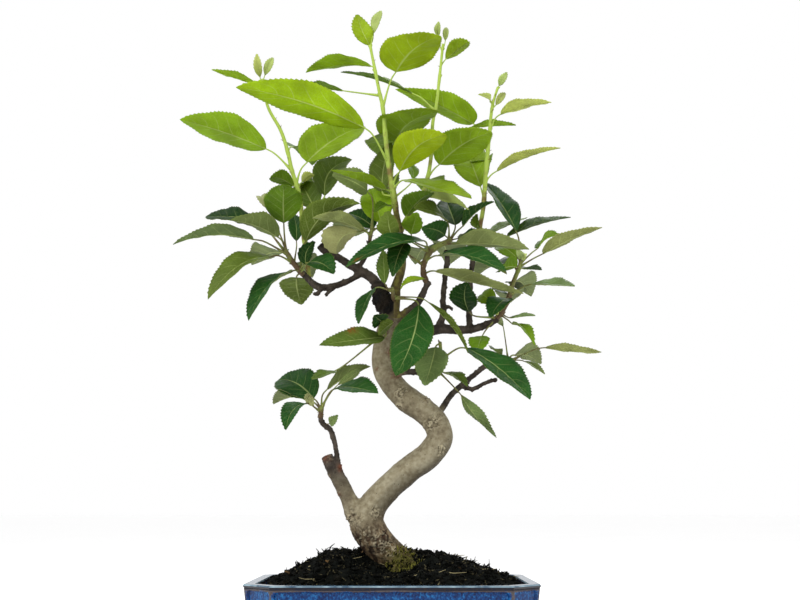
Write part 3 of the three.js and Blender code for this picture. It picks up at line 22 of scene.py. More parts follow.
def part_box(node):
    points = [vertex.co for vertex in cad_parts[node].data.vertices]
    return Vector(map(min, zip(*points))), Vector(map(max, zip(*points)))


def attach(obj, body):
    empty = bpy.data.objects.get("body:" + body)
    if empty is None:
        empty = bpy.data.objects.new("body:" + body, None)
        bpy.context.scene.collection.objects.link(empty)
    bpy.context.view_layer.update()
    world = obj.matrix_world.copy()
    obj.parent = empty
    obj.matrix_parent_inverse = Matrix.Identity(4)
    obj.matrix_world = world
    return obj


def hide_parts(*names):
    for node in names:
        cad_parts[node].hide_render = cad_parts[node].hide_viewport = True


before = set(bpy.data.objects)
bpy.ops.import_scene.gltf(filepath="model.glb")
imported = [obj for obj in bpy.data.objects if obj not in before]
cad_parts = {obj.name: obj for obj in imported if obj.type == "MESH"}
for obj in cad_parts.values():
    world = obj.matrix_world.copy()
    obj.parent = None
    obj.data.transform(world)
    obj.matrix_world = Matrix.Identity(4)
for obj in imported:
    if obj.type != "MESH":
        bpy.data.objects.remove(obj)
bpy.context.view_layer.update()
LOG = logging.getLogger("bonsai")
MM = 0.001

VIEW_MIDDLE = (400, 300)
VIEW_FOCAL = 1078.0
VIEW_PITCH = math.atan2(211, VIEW_FOCAL)
IMAGE_WIDTH = 800
PIXEL_SIZE = 0.76
SENSOR_WIDTH = 36.0
EYE = Vector((5.4, -800, 118))
AHEAD = Vector((0, math.cos(VIEW_PITCH), math.sin(VIEW_PITCH)))
UP = Vector((0, -math.sin(VIEW_PITCH), math.cos(VIEW_PITCH)))
RIGHT = Vector((1, 0, 0))

POT_LOW, POT_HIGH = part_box("pot")
SHIFT = Vector(((POT_LOW.x + POT_HIGH.x) / 2, (POT_LOW.y + POT_HIGH.y) / 2, 0))

Colour = tuple[float, ...]
Pixel = tuple[float, float]
Station = tuple[float, float, float, float]


def seen(pixel: Pixel, depth: float) -> Vector:
    """Find the place that the view shows at a pixel.

    Args:
        pixel: How far across and down the view.
        depth: How far behind the pot's middle plane, in millimetres.

    Returns:
        The place, in millimetres.
    """
    across = (pixel[0] - VIEW_MIDDLE[0]) / VIEW_FOCAL
    up = (VIEW_MIDDLE[1] - pixel[1]) / VIEW_FOCAL
    ray = AHEAD + RIGHT * across + UP * up
    return EYE + ray * ((depth - EYE.y) / ray.y)


def pixel_of(place: Vector) -> Pixel:
    """Return the pixel at which the view shows a place."""
    away = place - EYE
    ahead = away.dot(AHEAD)
    return (VIEW_MIDDLE[0] + VIEW_FOCAL * away.dot(RIGHT) / ahead,
            VIEW_MIDDLE[1] - VIEW_FOCAL * away.dot(UP) / ahead)


def spread(pixel: Pixel, other: Pixel) -> float:
    """Return how far apart two pixels are on the tree, in millimetres."""
    return math.hypot(pixel[0] - other[0], pixel[1] - other[1]) * PIXEL_SIZE


def vary(count: float) -> float:
    """Return the part's own repeatable number from 0 to 1 for a count."""
    wide = math.sin(count * 12.9898 + 4.1) * 43758.5453
    return wide - math.floor(wide)


def square_to(vector: Vector, axis: Vector) -> Vector:
    """Return the unit part of a vector that is at right angles to an axis."""
    return (vector - axis * vector.dot(axis)).normalized()


def linear(red: int, green: int, blue: int) -> Colour:
    """Return a screen colour, 0 to 255 a channel, as the linear colour that shaders use."""
    def channel(value: int) -> float:
        """Return one channel without its screen curve."""
        share = value / 255
        return share / 12.92 if share <= 0.04045 else ((share + 0.055) / 1.055) ** 2.4
    return (channel(red), channel(green), channel(blue), 1.0)


def along_run(values: Sequence[float], share: float) -> float:
    """Return the value at a share of the way through a row of evenly spaced values."""
    spot = min(share * (len(values) - 1), len(values) - 1 - 1e-9)
    span = int(spot)
    return values[span] + (values[span + 1] - values[span]) * (spot - span)


def blend(first: Colour, second: Colour, share: float) -> Colour:
    """Return a colour part of the way from the first to the second."""
    return tuple(a + (b - a) * share for a, b in zip(first, second))


class Course:
    """A smooth line through places, drawn as the part's source draws it."""

    def __init__(self, places: Sequence[Vector]) -> None:
        """Keep the places, with one more beyond each end."""
        first = places[0] * 2 - places[1]
        last = places[-1] * 2 - places[-2]
        self.places = [first, *places, last]
        self.spans = len(places) - 1

    def at(self, share: float) -> Vector:
        """Find a place on the line.

        Args:
            share: From 0 at the start to 1 at the end, an equal share for each span.

        Returns:
            The place.
        """
        spot = min(max(share, 0.0), 1.0) * self.spans
        span = min(int(spot), self.spans - 1)
        along = spot - span
        before, start, end, after = self.places[span:span + 4]
        reach = [max((b - a).length, 1e-8) ** 0.5
                 for a, b in ((before, start), (start, end), (end, after))]
        leave = ((start - before) / reach[0] - (end - before) / (reach[0] + reach[1])
                 + (end - start) / reach[1]) * reach[1]
        arrive = ((end - start) / reach[1] - (after - start) / (reach[1] + reach[2])
                  + (after - end) / reach[2]) * reach[1]
        bend = (end - start) * 3 - leave * 2 - arrive
        turn = (start - end) * 2 + leave + arrive
        return start + leave * along + bend * along ** 2 + turn * along ** 3

    def heading(self, share: float) -> Vector:
        """Return the way the line runs at a place on it."""
        step = 1e-4
        return (self.at(share + step) - self.at(share - step)).normalized()


@dataclass(frozen=True)
class Limb:
    """A woody limb or a green stem: stations of pixel across, pixel down, depth and radius."""

    name: str
    run: tuple[Station, ...]

    def course(self) -> Course:
        """Return the line through the limb's middle."""
        return Course([seen((across, down), depth) for across, down, depth, _ in self.run])

    def radius(self, share: float) -> float:
        """Return the limb's radius at a share of its length."""
        return along_run([station[3] for station in self.run], share)


class Tone(Enum):
    """The colour of the face that a leaf shows, as the screen colour of a lit leaf: partly the leaf's own
    colour and partly painted light and shade, each leaf taking the tone of how bright or dark it shows where
    it hangs.
    """

    LIME = (152, 176, 14)
    PALE_LIME = (178, 190, 112)
    FRESH = (136, 166, 26)
    GREEN = (94, 126, 20)
    OLIVE = (78, 98, 34)
    PALE_OLIVE = (128, 138, 82)
    PALE = (146, 152, 104)
    GREY_GREEN = (100, 118, 66)
    DARK = (22, 66, 20)
    DEEP = (2, 46, 4)


@dataclass(frozen=True)
class Blemish:
    """A brown spot on a leaf: where it is along and across the blade, and how far it spreads."""

    along: float
    across: float
    reach: float


@dataclass(frozen=True)
class Leaf:
    """A leaf read off the view, with the pixels of its base, its tip and its stalk's foot.

    Deep is the depth of base and tip, and half the blade's half width. With roll 0 the upper face looks
    at the viewer. A positive roll turns that face up, and from 90 on the underside shows. Fold, roll and
    twist are in degrees, and arch and sway in millimetres. Shear carries one half towards the tip and the
    other towards the base. Bulge is the share of the length at which the blade is widest.
    """

    name: str
    base: Pixel
    tip: Pixel
    deep: tuple[float, float]
    half: float
    tone: Tone
    stalk: Pixel | None
    roll: float
    arch: float
    fold: float
    sway: float
    shear: float
    bulge: float
    twist: float = 0.0


@dataclass(frozen=True)
class Rear:
    """Leaves behind a stem, where the view doesn't reach, fanned out about one way."""

    start: float
    end: float
    count: int
    length: float
    half: float
    phase: float
    toward: float
    spread: float


@dataclass(frozen=True)
class Shoot:
    """A leafy shoot: its stem and its leaves, which stand for one spray of the frame."""

    name: str
    stem: Limb
    leaves: tuple[Leaf, ...]
    rear: Rear | None = None
    young: bool = False


@dataclass(frozen=True)
class Scar:
    """A knot, cut or old leaf scar on the wood, where the view shows it."""

    pixel: Pixel
    reach: float
    swell: float
    cut: float


@dataclass(frozen=True)
class Knot:
    """A swelling of the trunk: its share of the length, its angle, its height and its reach."""

    place: float
    way: float
    swell: float
    reach: float


LIMBS: tuple[Limb, ...] = (
    Limb("trunk", ((404, 590, 10, 12), (400, 571, 9, 13), (392, 559, 8, 12.4), (383, 549, 7, 11.9),
        (374, 538, 6, 12.2), (367, 523, 5, 12.6), (372, 507, 4, 10.7), (384, 493, 2, 9.4),
        (397, 481, 1, 9.3), (412, 468, 0, 9.5), (429, 455, -2, 9.7), (440, 438, -4, 9.5),
        (436, 423, -4, 9.4), (424, 411, -2, 9.4), (410, 402, 0, 9.2), (398, 391, 2, 8.8),
        (388, 378, 3, 8.6), (383, 363, 4, 8.4), (384, 344, 3, 8), (388, 326, 1, 7.4), (392, 312, -1, 5.6),
        (395, 302, -3, 4), (396, 287, -5, 3.4), (402, 266, -5, 3.1), (401, 246, -3, 2.8),
        (399, 230, -1, 2.6), (397, 217, 1, 2.4), (395, 204, 2, 2.3))),
    Limb("stump", ((368, 529, 5, 9.5), (356, 512, 4, 8), (348, 497, 3, 5.8), (340, 481, 2, 5.5),
        (332, 467, 1, 4.6), (327, 456, 1, 4.2))),
    Limb("stump_twig", ((341, 480, 1, 2), (338, 462, -1, 1.9), (334, 440, -2, 1.8), (329, 428, -2, 1.8),
        (322, 423, -2, 1.7), (320, 414, -2, 1.9))),
    Limb("burr", ((390, 318, 4, 4), (385, 308, 2, 6), (382, 299, 0, 7.2), (380, 290, 2, 6.2),
        (377, 284, 4, 4.6))),
    Limb("left_branch", ((384, 296, 3, 4.2), (375, 281, 5, 3.7), (363, 272, 6, 3.4), (350, 265, 6, 2.9),
        (336, 256, 5, 2.7), (325, 250, 4, 3.4), (320, 245, 3, 3.3))),
    Limb("left_twig", ((362, 273, 6, 2.4), (348, 281, 5, 2.2), (333, 286, 4, 2.4), (319, 287, 3, 2.9),
        (309, 280, 3, 2.3), (302, 272, 2, 1.9))),
    Limb("left_stub_one", ((326, 286, 3, 1.5), (319, 292, 0, 1.3), (315, 295, -2, 1.1))),
    Limb("left_stub_two", ((338, 285, 4, 1.5), (330, 291, 2, 1.4), (325, 295, 0, 1.1))),
    Limb("spur_twig", ((358, 268, 6, 2), (365, 258, 6, 1.8), (369, 248, 5, 1.7), (370, 241, 4, 1.7))),
    Limb("right_branch", ((388, 344, 3, 5.6), (404, 339, 8, 5), (424, 333, 12, 4.2), (441, 329, 14, 3.7),
        (458, 330, 13, 3.3), (474, 329, 12, 2.9), (488, 324, 10, 2.6), (498, 319, 8, 2.3))),
    Limb("riser", ((436, 333, 13, 2.8), (443, 315, 14, 2.4), (443, 302, 15, 2.2), (444, 286, 16, 2.1),
        (446, 270, 17, 2), (447, 258, 18, 2), (446, 250, 18, 1.8))),
    Limb("riser_stub", ((443, 306, 15, 1.4), (449, 307, 13, 1.3), (453, 309, 11, 1))),
    Limb("right_riser", ((470, 331, 13, 2.5), (469, 310, 15, 2.2), (470, 288, 17, 2.1), (472, 266, 17, 2),
        (476, 246, 16, 1.9))),
    Limb("centre_twig", ((392, 322, 0, 3.6), (405, 313, -5, 2.9), (417, 304, -8, 2.6), (424, 291, -8, 2.2),
        (429, 281, -8, 2.3))),
    Limb("bud_twig", ((392, 374, 2, 2.6), (405, 372, -6, 2.3), (420, 372, -9, 2), (434, 373, -10, 1.9))),
    Limb("dark_twig", ((431, 420, 0, 2.8), (441, 410, 8, 2.5), (451, 395, 14, 2.2), (462, 385, 19, 2.1),
        (474, 375, 23, 1.9), (486, 366, 25, 1.8), (502, 362, 24, 1.8))),
    Limb("dark_stub", ((461, 386, 18, 1.8), (472, 389, 20, 1.7), (485, 383, 20, 1.5), (497, 379, 18, 1.4))),
)

SHOOTS: tuple[Shoot, ...] = (
    Shoot("leader", Limb("stem", (
        (396, 212, 1, 2.2), (394, 197, 2, 2.2), (391, 180, 2, 2), (388, 160, 1, 1.9), (385, 131, -1, 1.7),
        (383, 109, -3, 1.5), (379, 90, -4, 1.3), (374, 65, -5, 1.2), (370, 45, -6, 1)
    )), (
        Leaf("crown", (370, 45.5), (357.3, 14.7), (-6, -4), 7.7, Tone.LIME, None, 10, 1.6, 11, 1.6, 0.17,
             0.41),
        Leaf("crown_small", (373.4, 33.5), (380.8, 11.2), (-7, 2), 4.3, Tone.PALE_LIME, None, 31, 3, 16,
             -0.9, 0.02, 0.43),
        Leaf("top_right", (395.9, 72.1), (440.7, 36.3), (-10, -62), 18.8, Tone.LIME, (385, 106), 150, 3.5,
             14, -4, 0.35, 0.34),
        Leaf("top_left", (371, 66.1), (305.9, 72.7), (-5, 26), 12.9, Tone.FRESH, (375, 72), 114, 3.8, 16, 0,
             0.01, 0.4),
        Leaf("big_lime", (363.6, 127.5), (235.9, 87.4), (-12, -34), 16.3, Tone.LIME, (388, 163), 148, 5.3,
             15, 2.5, -0.07, 0.44),
        Leaf("far_left", (342.7, 90.7), (306.1, 85.3), (16, 36), 8.8, Tone.GREEN, (380, 96), 107, 0.5, 13,
             -0.7, 0.03, 0.43),
        Leaf("lime_right", (400.1, 171.1), (445.9, 135), (-6, -58), 14.6, Tone.LIME, (392, 187), 160, 3.4,
             20, -5.8, 0.43, 0.46),
        Leaf("lime_back", (397.5, 142.6), (439.3, 111.3), (32, -30), 21, Tone.FRESH, (391, 183), 129, 2.3,
             13, -8.5, 0.1, 0.41),
        Leaf("lime_low", (406.3, 180), (471.6, 198.6), (-8, -52), 15.1, Tone.FRESH, (395, 189), 72, 0.5, 12,
             -1.2, 0.07, 0.41),
        Leaf("left_low", (385.8, 189.5), (331.2, 170.4), (-4, -44), 11.4, Tone.FRESH, (392, 193), 105, 0.4,
             15, -0.3, 0.19, 0.46),
        Leaf("behind", (382.1, 191.6), (390.9, 142.5), (9, 42), 11.5, Tone.OLIVE, (393, 196), 31, 1.7, 16,
             1.4, -0.01, 0.39),
        Leaf("behind_right", (412.9, 178.2), (407.7, 163.1), (10, 30), 4.6, Tone.GREEN, (393, 197), 29, 0.7,
             18, -1.9, 0.02, 0.4),
        Leaf("bright", (390, 206), (375, 213), (-5, -14), 5.5, Tone.GREEN, (394, 204), 58, 3, 16, 0, 0,
             0.4),
    ), Rear(0.1, 0.62, 2, 58, 14, 1.1, 94, 6), young=True),
    Shoot("secondShoot", Limb("stem", (
        (400, 234, -1, 1.9), (407, 218, 5, 1.9), (415, 206, 10, 1.8), (424, 190, 14, 1.7),
        (428, 176, 15, 1.6), (431, 157, 15, 1.5), (433, 121, 13, 1.4), (436, 107, 12, 1.3),
        (439, 82, 11, 1.2), (443, 44, 9, 0.9)
    )), (
        Leaf("edge_on", (412, 93.3), (340.7, 72.4), (14, 24), 11.9, Tone.GREEN, (435, 112), 90, 3.1, 11,
             1.9, -0.01, 0.44),
        Leaf("tip", (437.9, 36.2), (438.8, 21.7), (9, 6), 2.9, Tone.PALE_LIME, (443, 47), 22, 3.2, 17, -0.8,
             0.02, 0.4),
        Leaf("spike", (445.3, 40.4), (445.7, 27.9), (9, 12), 2.6, Tone.PALE_LIME, (443, 47), 8, 2.3, 21,
             -0.6, 0.02, 0.4),
        Leaf("folded", (445.7, 59.3), (468.4, 41.8), (9, -10), 8.3, Tone.FRESH, (440, 76), 152, 2.8, 33, 1,
             -0.04, 0.46),
        Leaf("lime_wide", (439.2, 164.6), (491.8, 132.3), (8, -46), 15.1, Tone.FRESH, (431, 178), 165, 2.8,
             14, -3.2, 0.42, 0.39),
        Leaf("edge_right", (470.8, 127.6), (516, 125.5), (20, 30), 8.4, Tone.FRESH, (432, 152), 105, 1.5,
             17, 2, 0.09, 0.41),
        Leaf("pale_under", (430, 197), (468, 210), (0, -38), 10, Tone.PALE_LIME, (415, 207), 112, 3, 16, 0,
             0, 0.4),
        Leaf("olive", (405.9, 216.8), (431.2, 193), (0, -30), 10.7, Tone.GREEN, (404, 224), 136, 3.7, 20, 0,
             0.13, 0.46),
    ), Rear(0.3, 0.45, 1, 56, 14, 2.3, 84, 6), young=True),
    Shoot("rightShoot", Limb("stem", (
        (475, 250, 16, 1.8), (479, 230, 14, 1.8), (483, 210, 12, 1.7), (486, 170, 10, 1.6),
        (489, 140, 8, 1.4), (491, 116, 7, 1.3), (493, 103, 6, 1.1), (498, 87, 5, 0.9)
    )), (
        Leaf("tip", (499, 85.6), (506.7, 72.3), (5, 3), 3.3, Tone.PALE_LIME, (497, 90), 21, 2.5, 16, -1,
             -0.01, 0.4),
        Leaf("curled", (489.9, 101.8), (477.9, 94.7), (5, -6), 3.1, Tone.PALE_LIME, (493, 105), 42, 4.3, 17,
             0.5, 0.01, 0.4),
        Leaf("spike", (496, 105), (505, 93), (6, 9), 3, Tone.PALE_LIME, (493, 109), 10, 3, 16, 0, 0, 0.4),
        Leaf("high_right", (501, 114), (551.3, 102.6), (3, -34), 9.8, Tone.PALE_LIME, (490, 132), 115, 2.2,
             15, 0.5, -0.01, 0.44),
        Leaf("right", (497.4, 170.8), (560.5, 148.2), (8, -30), 8.8, Tone.PALE_LIME, (485, 183), 106, 2.9,
             20, 0.4, 0, 0.43),
        Leaf("lime", (480.5, 186.7), (466.8, 149.5), (15, 52), 15.3, Tone.FRESH, (484, 200), 5, 2.9, 18,
             0.4, 0, 0.46),
        Leaf("big_green", (473.6, 123.8), (395.3, 89.3), (38, 50), 13.9, Tone.FRESH, (488, 152), 139, 3.4,
             20, 0.5, -0.48, 0.34),
        Leaf("low_right", (491.9, 232.3), (526.3, 218.4), (24, 46), 9.5, Tone.GREEN, (480, 228), 77, 1.3,
             10, -1.2, -0.25, 0.4),
        Leaf("edge_dark", (507.3, 236.2), (570.8, 217.5), (22, 34), 11.6, Tone.DARK, (477, 244), 77, 2.7,
             14, -0.6, 0.03, 0.43),
        Leaf("small", (479.4, 228.6), (477.5, 213.8), (10, 2), 4.3, Tone.GREEN, (479, 232), 37, 2.9, 16,
             0.5, 0.01, 0.43),
    ), Rear(0.3, 0.62, 1, 54, 13, 0.6, 98, 10), young=True),
    Shoot("leftShoot", Limb("stem", (
        (309, 278, 6, 2), (306, 252, 9, 2), (303, 226, 8, 1.9), (300, 200, 7, 1.8), (297, 186, 6, 1.7),
        (292, 171, 5, 1.6), (288, 153, 4, 1.5), (281, 131, 3, 1.4), (268, 107, 2, 1.2), (262, 79, 0, 0.9)
    )), (
        Leaf("tip", (260, 77), (257, 54), (0, -3), 3.4, Tone.PALE_LIME, (262, 84), 10, 3, 16, 0, 0, 0.4),
        Leaf("tip_right", (265, 75), (273, 58), (0, 4), 3.4, Tone.PALE_LIME, (262, 83), 12, 3, 16, 0, 0,
             0.4),
        Leaf("high_left", (255.9, 84.2), (211.6, 70), (-2, -26), 7.3, Tone.FRESH, (264, 92), 112, 0.4, 14,
             -0.8, 0.22, 0.46),
        Leaf("left", (266.1, 148.8), (179.8, 119.6), (0, -22), 16.8, Tone.FRESH, (290, 171), 137, 3, 15, 0,
             0.01, 0.43),
        Leaf("lime_right", (307.2, 162.2), (364, 126.3), (8, 32), 18, Tone.FRESH, (298, 184), 33, 3.1, 26,
             2.3, -0.43, 0.39),
        Leaf("small_left", (293.9, 186.4), (270.5, 178.1), (3, -26), 6.8, Tone.GREEN, (298, 190), 153, 3.6,
             20, 0.9, 0.11, 0.44),
        Leaf("pale_small", (302, 182), (313, 175), (7, -4), 4, Tone.PALE_LIME, (298, 187), 150, 3, 16, 0, 0,
             0.4),
        Leaf("dark_curl", (314, 208), (301, 184), (14, 40), 12.5, Tone.OLIVE, (303, 222), 10, 3, 16, 0, 0,
             0.4),
        Leaf("dark_arch", (324.8, 195.7), (351.9, 159.8), (16, 44), 12.9, Tone.OLIVE, (305, 240), 26, 2.9,
             22, 7.8, 0, 0.44),
    ), Rear(0.3, 0.8, 2, 56, 14, 1.9, 84, 16), young=True),
    Shoot("leftSpur", Limb("stem", (
        (303, 275, 0, 1.9), (299, 270, -2, 1.9), (292, 261, -4, 1.8), (285, 250, -6, 1.5)
    )), (
        Leaf("diamond", (283.8, 223.1), (283.8, 185.1), (-10, -62), 14.9, Tone.GREEN, (286, 251), 179, 2.3,
             17, -0.4, 0.02, 0.4),
        Leaf("far_left", (253.5, 239.4), (173.1, 244.6), (-10, -34), 12.5, Tone.GREY_GREEN, (286, 256), 109,
             5.8, 15, 0.7, 0, 0.43),
        Leaf("arched", (270.4, 256.7), (208, 299.5), (-12, -44), 13.2, Tone.OLIVE, (293, 265), 58, 9, 17,
             0.4, 0.07, 0.4),
        Leaf("dark_arch", (291, 272.1), (248.7, 320.8), (-8, -44), 12.2, Tone.DARK, (299, 271), 63, 7.2, 18,
             1.1, 0, 0.4),
        Leaf("hanging", (296.4, 277.8), (301.4, 304.8), (3, 40), 13.9, Tone.OLIVE, (301, 272), 188, 2.2, 12,
             1.3, -0.06, 0.45),
        Leaf("grey_green", (278.3, 237.3), (229.7, 220.5), (-6, -44), 13.2, Tone.GREY_GREEN, (285, 252),
             122, 3.6, 21, 0.2, 0.03, 0.44),
        Leaf("dark_back", (252.7, 218.3), (206.2, 216.6), (20, 42), 12.7, Tone.DEEP, (288, 256), 64, 1.8,
             13, 2.8, -0.18, 0.47),
        Leaf("pale_back", (269.9, 210.5), (260.7, 196.9), (12, 24), 5.7, Tone.PALE, (287, 254), 21, 4.6, 25,
             0.8, -0.07, 0.45),
        Leaf("dark_up", (296.5, 240.9), (292.6, 215.4), (16, 42), 6.2, Tone.DARK, (294, 264), 3, 2.8, 17,
             -1.7, 0.09, 0.4),
        Leaf("dark_low", (309.5, 262.8), (333.8, 274.2), (-14, -32), 10.2, Tone.DARK, (300, 271), 41, 3.6,
             15, 1.3, 0.07, 0.41),
        Leaf("dark_mid", (306, 264.6), (315.4, 241.9), (-10, -8), 6, Tone.DEEP, (301, 272), 26, 2.3, 12,
             2.6, -0.09, 0.41),
        Leaf("big", (305.9, 241.2), (359.9, 203.6), (0, -34), 12.4, Tone.OLIVE, (302, 272), 146, 4.7, 24,
             -7.4, 0.2, 0.43),
    ), Rear(0.3, 0.9, 2, 52, 13, 0.3, 104, 26)),
    Shoot("leftCentre", Limb("stem", (
        (370, 246, 5, 1.5), (370, 238, 4, 1.5), (372, 230, 3, 1.2)
    )), (
        Leaf("pale", (366.9, 232.6), (312.4, 218.4), (2, -52), 9.4, Tone.PALE_OLIVE, (372, 232), 120, 5, 12,
             -1, 0.43, 0.52),
        Leaf("drooping", (359.2, 231.9), (336.2, 253.9), (-4, -13), 12.7, Tone.PALE, (371, 235), 148, 4.8,
             28, 4.4, 0.31, 0.56),
        Leaf("dark", (374, 228), (348, 214), (10, 30), 11, Tone.DARK, (372, 232), 40, 3, 16, 0, 0, 0.4),
        Leaf("grey_back", (367, 191), (332, 175), (10, -4), 12, Tone.GREY_GREEN, (372, 230), 42, 3, 16, 0,
             0, 0.4),
        Leaf("dark_up", (381, 223), (371, 189), (10, 34), 13, Tone.FRESH, (372, 230), 10, 3, 16, 0, 0, 0.4),
    ), Rear(0.3, 0.9, 1, 56, 14, 2, 110, 20)),
    Shoot("centre", Limb("stem", (
        (427, 284, -8, 2.1), (423, 271, -8, 2), (425, 261, -8, 2), (430, 252, -7, 2.1), (440, 245, -4, 2.2),
        (451, 240, -1, 1.7)
    )), (
        Leaf("olive_right", (456.1, 243.7), (529, 249.5), (-12, -44), 14.5, Tone.PALE_OLIVE, (435, 249),
             117, 2.8, 15, 0.5, -0.08, 0.44),
        Leaf("dark_right", (439.7, 255.6), (506.8, 274.4), (-16, -64), 11.9, Tone.DARK, (425, 262), 62, 5.4,
             20, 1.2, 0.01, 0.4),
        Leaf("olive_low", (435.9, 271.2), (523.3, 293.9), (-12, -30), 12.4, Tone.PALE_OLIVE, (423, 274),
             110, 0.6, 12, 2.5, 0.06, 0.41),
        Leaf("yellow", (424.6, 279), (401.1, 289.2), (-12, -26), 3, Tone.FRESH, (425, 279), 139, 4.3, 21,
             0.7, 0.02, 0.44),
        Leaf("long_left", (423, 240.6), (345.5, 267.6), (-14, -52), 11.9, Tone.DARK, (427, 256), 61, 7, 16,
             2.2, 0.14, 0.39),
        Leaf("dark_down", (404.8, 243.2), (392.8, 276.9), (-24, -48), 8.5, Tone.DEEP, (429, 253), 15, 3.1,
             17, -0.7, -0.01, 0.41),
        Leaf("dark_top", (455.3, 225.2), (445.5, 198.6), (2, 46), 10.8, Tone.DEEP, (451, 240), 13, 1.7, 14,
             0.3, 0.17, 0.38),
        Leaf("mid_top", (445, 219), (414, 209), (-4, -38), 10, Tone.OLIVE, (449, 241), 60, 3, 16, 0, 0,
             0.4),
        Leaf("dark_hang", (444.5, 235.4), (421.4, 227.7), (-6, -36), 8.7, Tone.DARK, (450, 240), 2, 2.2, 16,
             -1.8, 0.47, 0.53),
        Leaf("green_up", (411.1, 234), (416.8, 212.2), (-10, -24), 9, Tone.GREEN, (433, 250), 26, 0.8, 19,
             -0.7, -0.29, 0.49),
        Leaf("edge_dark", (462.8, 226.1), (494, 202.1), (-2, -16), 11.5, Tone.DARK, (451, 240), 103, 3, 16,
             0.8, -0.04, 0.43),
        Leaf("low_dark", (459.1, 238.1), (482.1, 232.5), (-5, -16), 6.9, Tone.DARK, (450, 240), 79, 1.8, 17,
             -1.7, 0, 0.43),
        Leaf("olive_up", (392, 236), (388, 211), (-16, -24), 9, Tone.OLIVE, (424, 266), 20, 3, 16, 0, 0,
             0.4),
    ), Rear(0.4, 0.9, 2, 56, 14, 0.9, 110, 30)),
    Shoot("right", Limb("stem", (
        (495, 320, 8, 1.9), (501, 313, 7, 2), (508, 300, 4, 1.9), (511, 289, 2, 1.8), (515, 278, 0, 1.7),
        (519, 268, -2, 1.6), (521, 261, -3, 1.2)
    )), (
        Leaf("dark_up", (515.9, 231.1), (482.9, 182.3), (4, 36), 14, Tone.DARK, (520, 264), 59, 3.5, 17,
             1.3, -0.04, 0.46),
        Leaf("pale_right", (543.2, 253.6), (602.1, 227.8), (-10, -46), 8.9, Tone.PALE_OLIVE, (519, 267),
             119, 2.4, 16, 0, 0.15, 0.4),
        Leaf("second_right", (538, 248), (558, 235), (4, 22), 8, Tone.GREEN, (520, 264), 102, 3, 16, 0, 0,
             0.4),
        Leaf("edge_dark", (522.9, 268.6), (541.6, 270.2), (6, 26), 7.1, Tone.DEEP, (519, 268), 100, 0.8, 15,
             1.6, 0.02, 0.4),
        Leaf("low_green", (517, 267), (500, 272), (-4, -22), 9, Tone.GREEN, (518, 270), 118, 3, 16, 0, 0,
             0.4),
        Leaf("up_green", (517, 258), (497, 247), (4, 24), 9, Tone.GREEN, (520, 264), 42, 3, 16, 0, 0, 0.4),
        Leaf("young", (520, 259), (516.5, 250), (-4, -5), 3, Tone.PALE_OLIVE, (521, 263), 20, 3, 16, 0, 0,
             0.4),
        Leaf("spike", (523, 261), (526, 254), (-3, -1), 2.4, Tone.PALE_LIME, (521, 262), 20, 3, 16, 0, 0,
             0.4),
        Leaf("low", (533.3, 284), (574.7, 286.5), (-4, -32), 9.3, Tone.GREY_GREEN, (509, 297), 72, 0.8, 15,
             -0.6, 0, 0.4),
        Leaf("dark_fold", (507, 299), (490.5, 318), (-2, -22), 10, Tone.DARK, (509, 299), 40, 3, 16, 0, 0,
             0.4),
        Leaf("lime_back", (495.8, 301.5), (482.1, 294.3), (12, 28), 7.6, Tone.GREEN, (508, 302), 20, 3.2,
             16, 1.6, -0.02, 0.39),
        Leaf("hook", (512.9, 324.3), (534.1, 345.5), (3, -16), 6.5, Tone.GREEN, (500, 315), 62, 5.2, 20,
             -2.3, -0.06, 0.46),
        Leaf("blade", (511, 317.9), (535.2, 316), (10, 24), 5.8, Tone.GREY_GREEN, (501, 313), 97, 1, 13,
             0.8, 0.06, 0.4),
        Leaf("bud", (497, 315), (498, 307), (6, 5), 2.6, Tone.PALE_LIME, (497, 318), 20, 3, 16, 0, 0, 0.4),
        Leaf("dark_spur", (469.2, 311.3), (467.7, 282.3), (-6, -34), 11.1, Tone.DEEP, (497, 318), 21, 0.1,
             11, 3.1, -0.08, 0.47),
        Leaf("lime_spur", (482.1, 336.3), (476.6, 353.5), (2, -16), 8.6, Tone.GREEN, (496, 319), 27, 1.9,
             12, 0.5, 0.22, 0.47),
    ), Rear(0.2, 0.9, 3, 54, 13, 1.4, 88, 30)),
    Shoot("farRight", Limb("stem", (
        (499, 362, 24, 1.7), (506, 361, 23, 1.8), (513, 360, 20, 1.4)
    )), (
        Leaf("long", (545.7, 347.7), (601.3, 352.4), (12, -12), 7.9, Tone.PALE_OLIVE, (512, 360), 113, 0.1,
             13, 1.4, -0.03, 0.44),
        Leaf("twisted", (525.2, 361.7), (544.7, 374.5), (16, -6), 3.5, Tone.GREY_GREEN, (512, 361), 52, 1.5,
             22, -0.6, 0.09, 0.44),
        Leaf("pale_bit", (519.6, 356.5), (522.6, 354.3), (19, 12), 3.3, Tone.PALE, (512, 360), 153, -1.4,
             14, 3, 0.01, 0.43),
        Leaf("tall", (503, 326), (499.5, 309), (20, 16), 3, Tone.PALE, (508, 360), 150, 3, 16, 0, 0, 0.4),
        Leaf("curved", (501.2, 357), (490.7, 348.9), (22, 12), 7, Tone.GREY_GREEN, (506, 361), 104, 1.9, 17,
             -2, 0.11, 0.43),
    ), Rear(0.3, 0.9, 1, 50, 13, 0.4, 70, 20)),
    Shoot("lowRight", Limb("stem", (
        (430, 373, -10, 1.6), (437, 370, -11, 1.5), (441, 358, -10, 1.3), (440, 342, -8, 1.1)
    )), (
        Leaf("long_dark", (466.6, 348.4), (530.2, 399.8), (-14, -66), 14, Tone.DARK, (441, 360), 53, 2.8,
             15, 1.9, -0.03, 0.47),
        Leaf("hanging", (461.3, 395.3), (496.4, 437.8), (-14, 6), 7, Tone.GREY_GREEN, (437, 370), 129, -2,
             16, -0.1, -0.06, 0.52, twist=80),
        Leaf("small", (444, 372.8), (466.8, 386.7), (-14, -24), 7.9, Tone.OLIVE, (438, 370), 68, 2.3, 16,
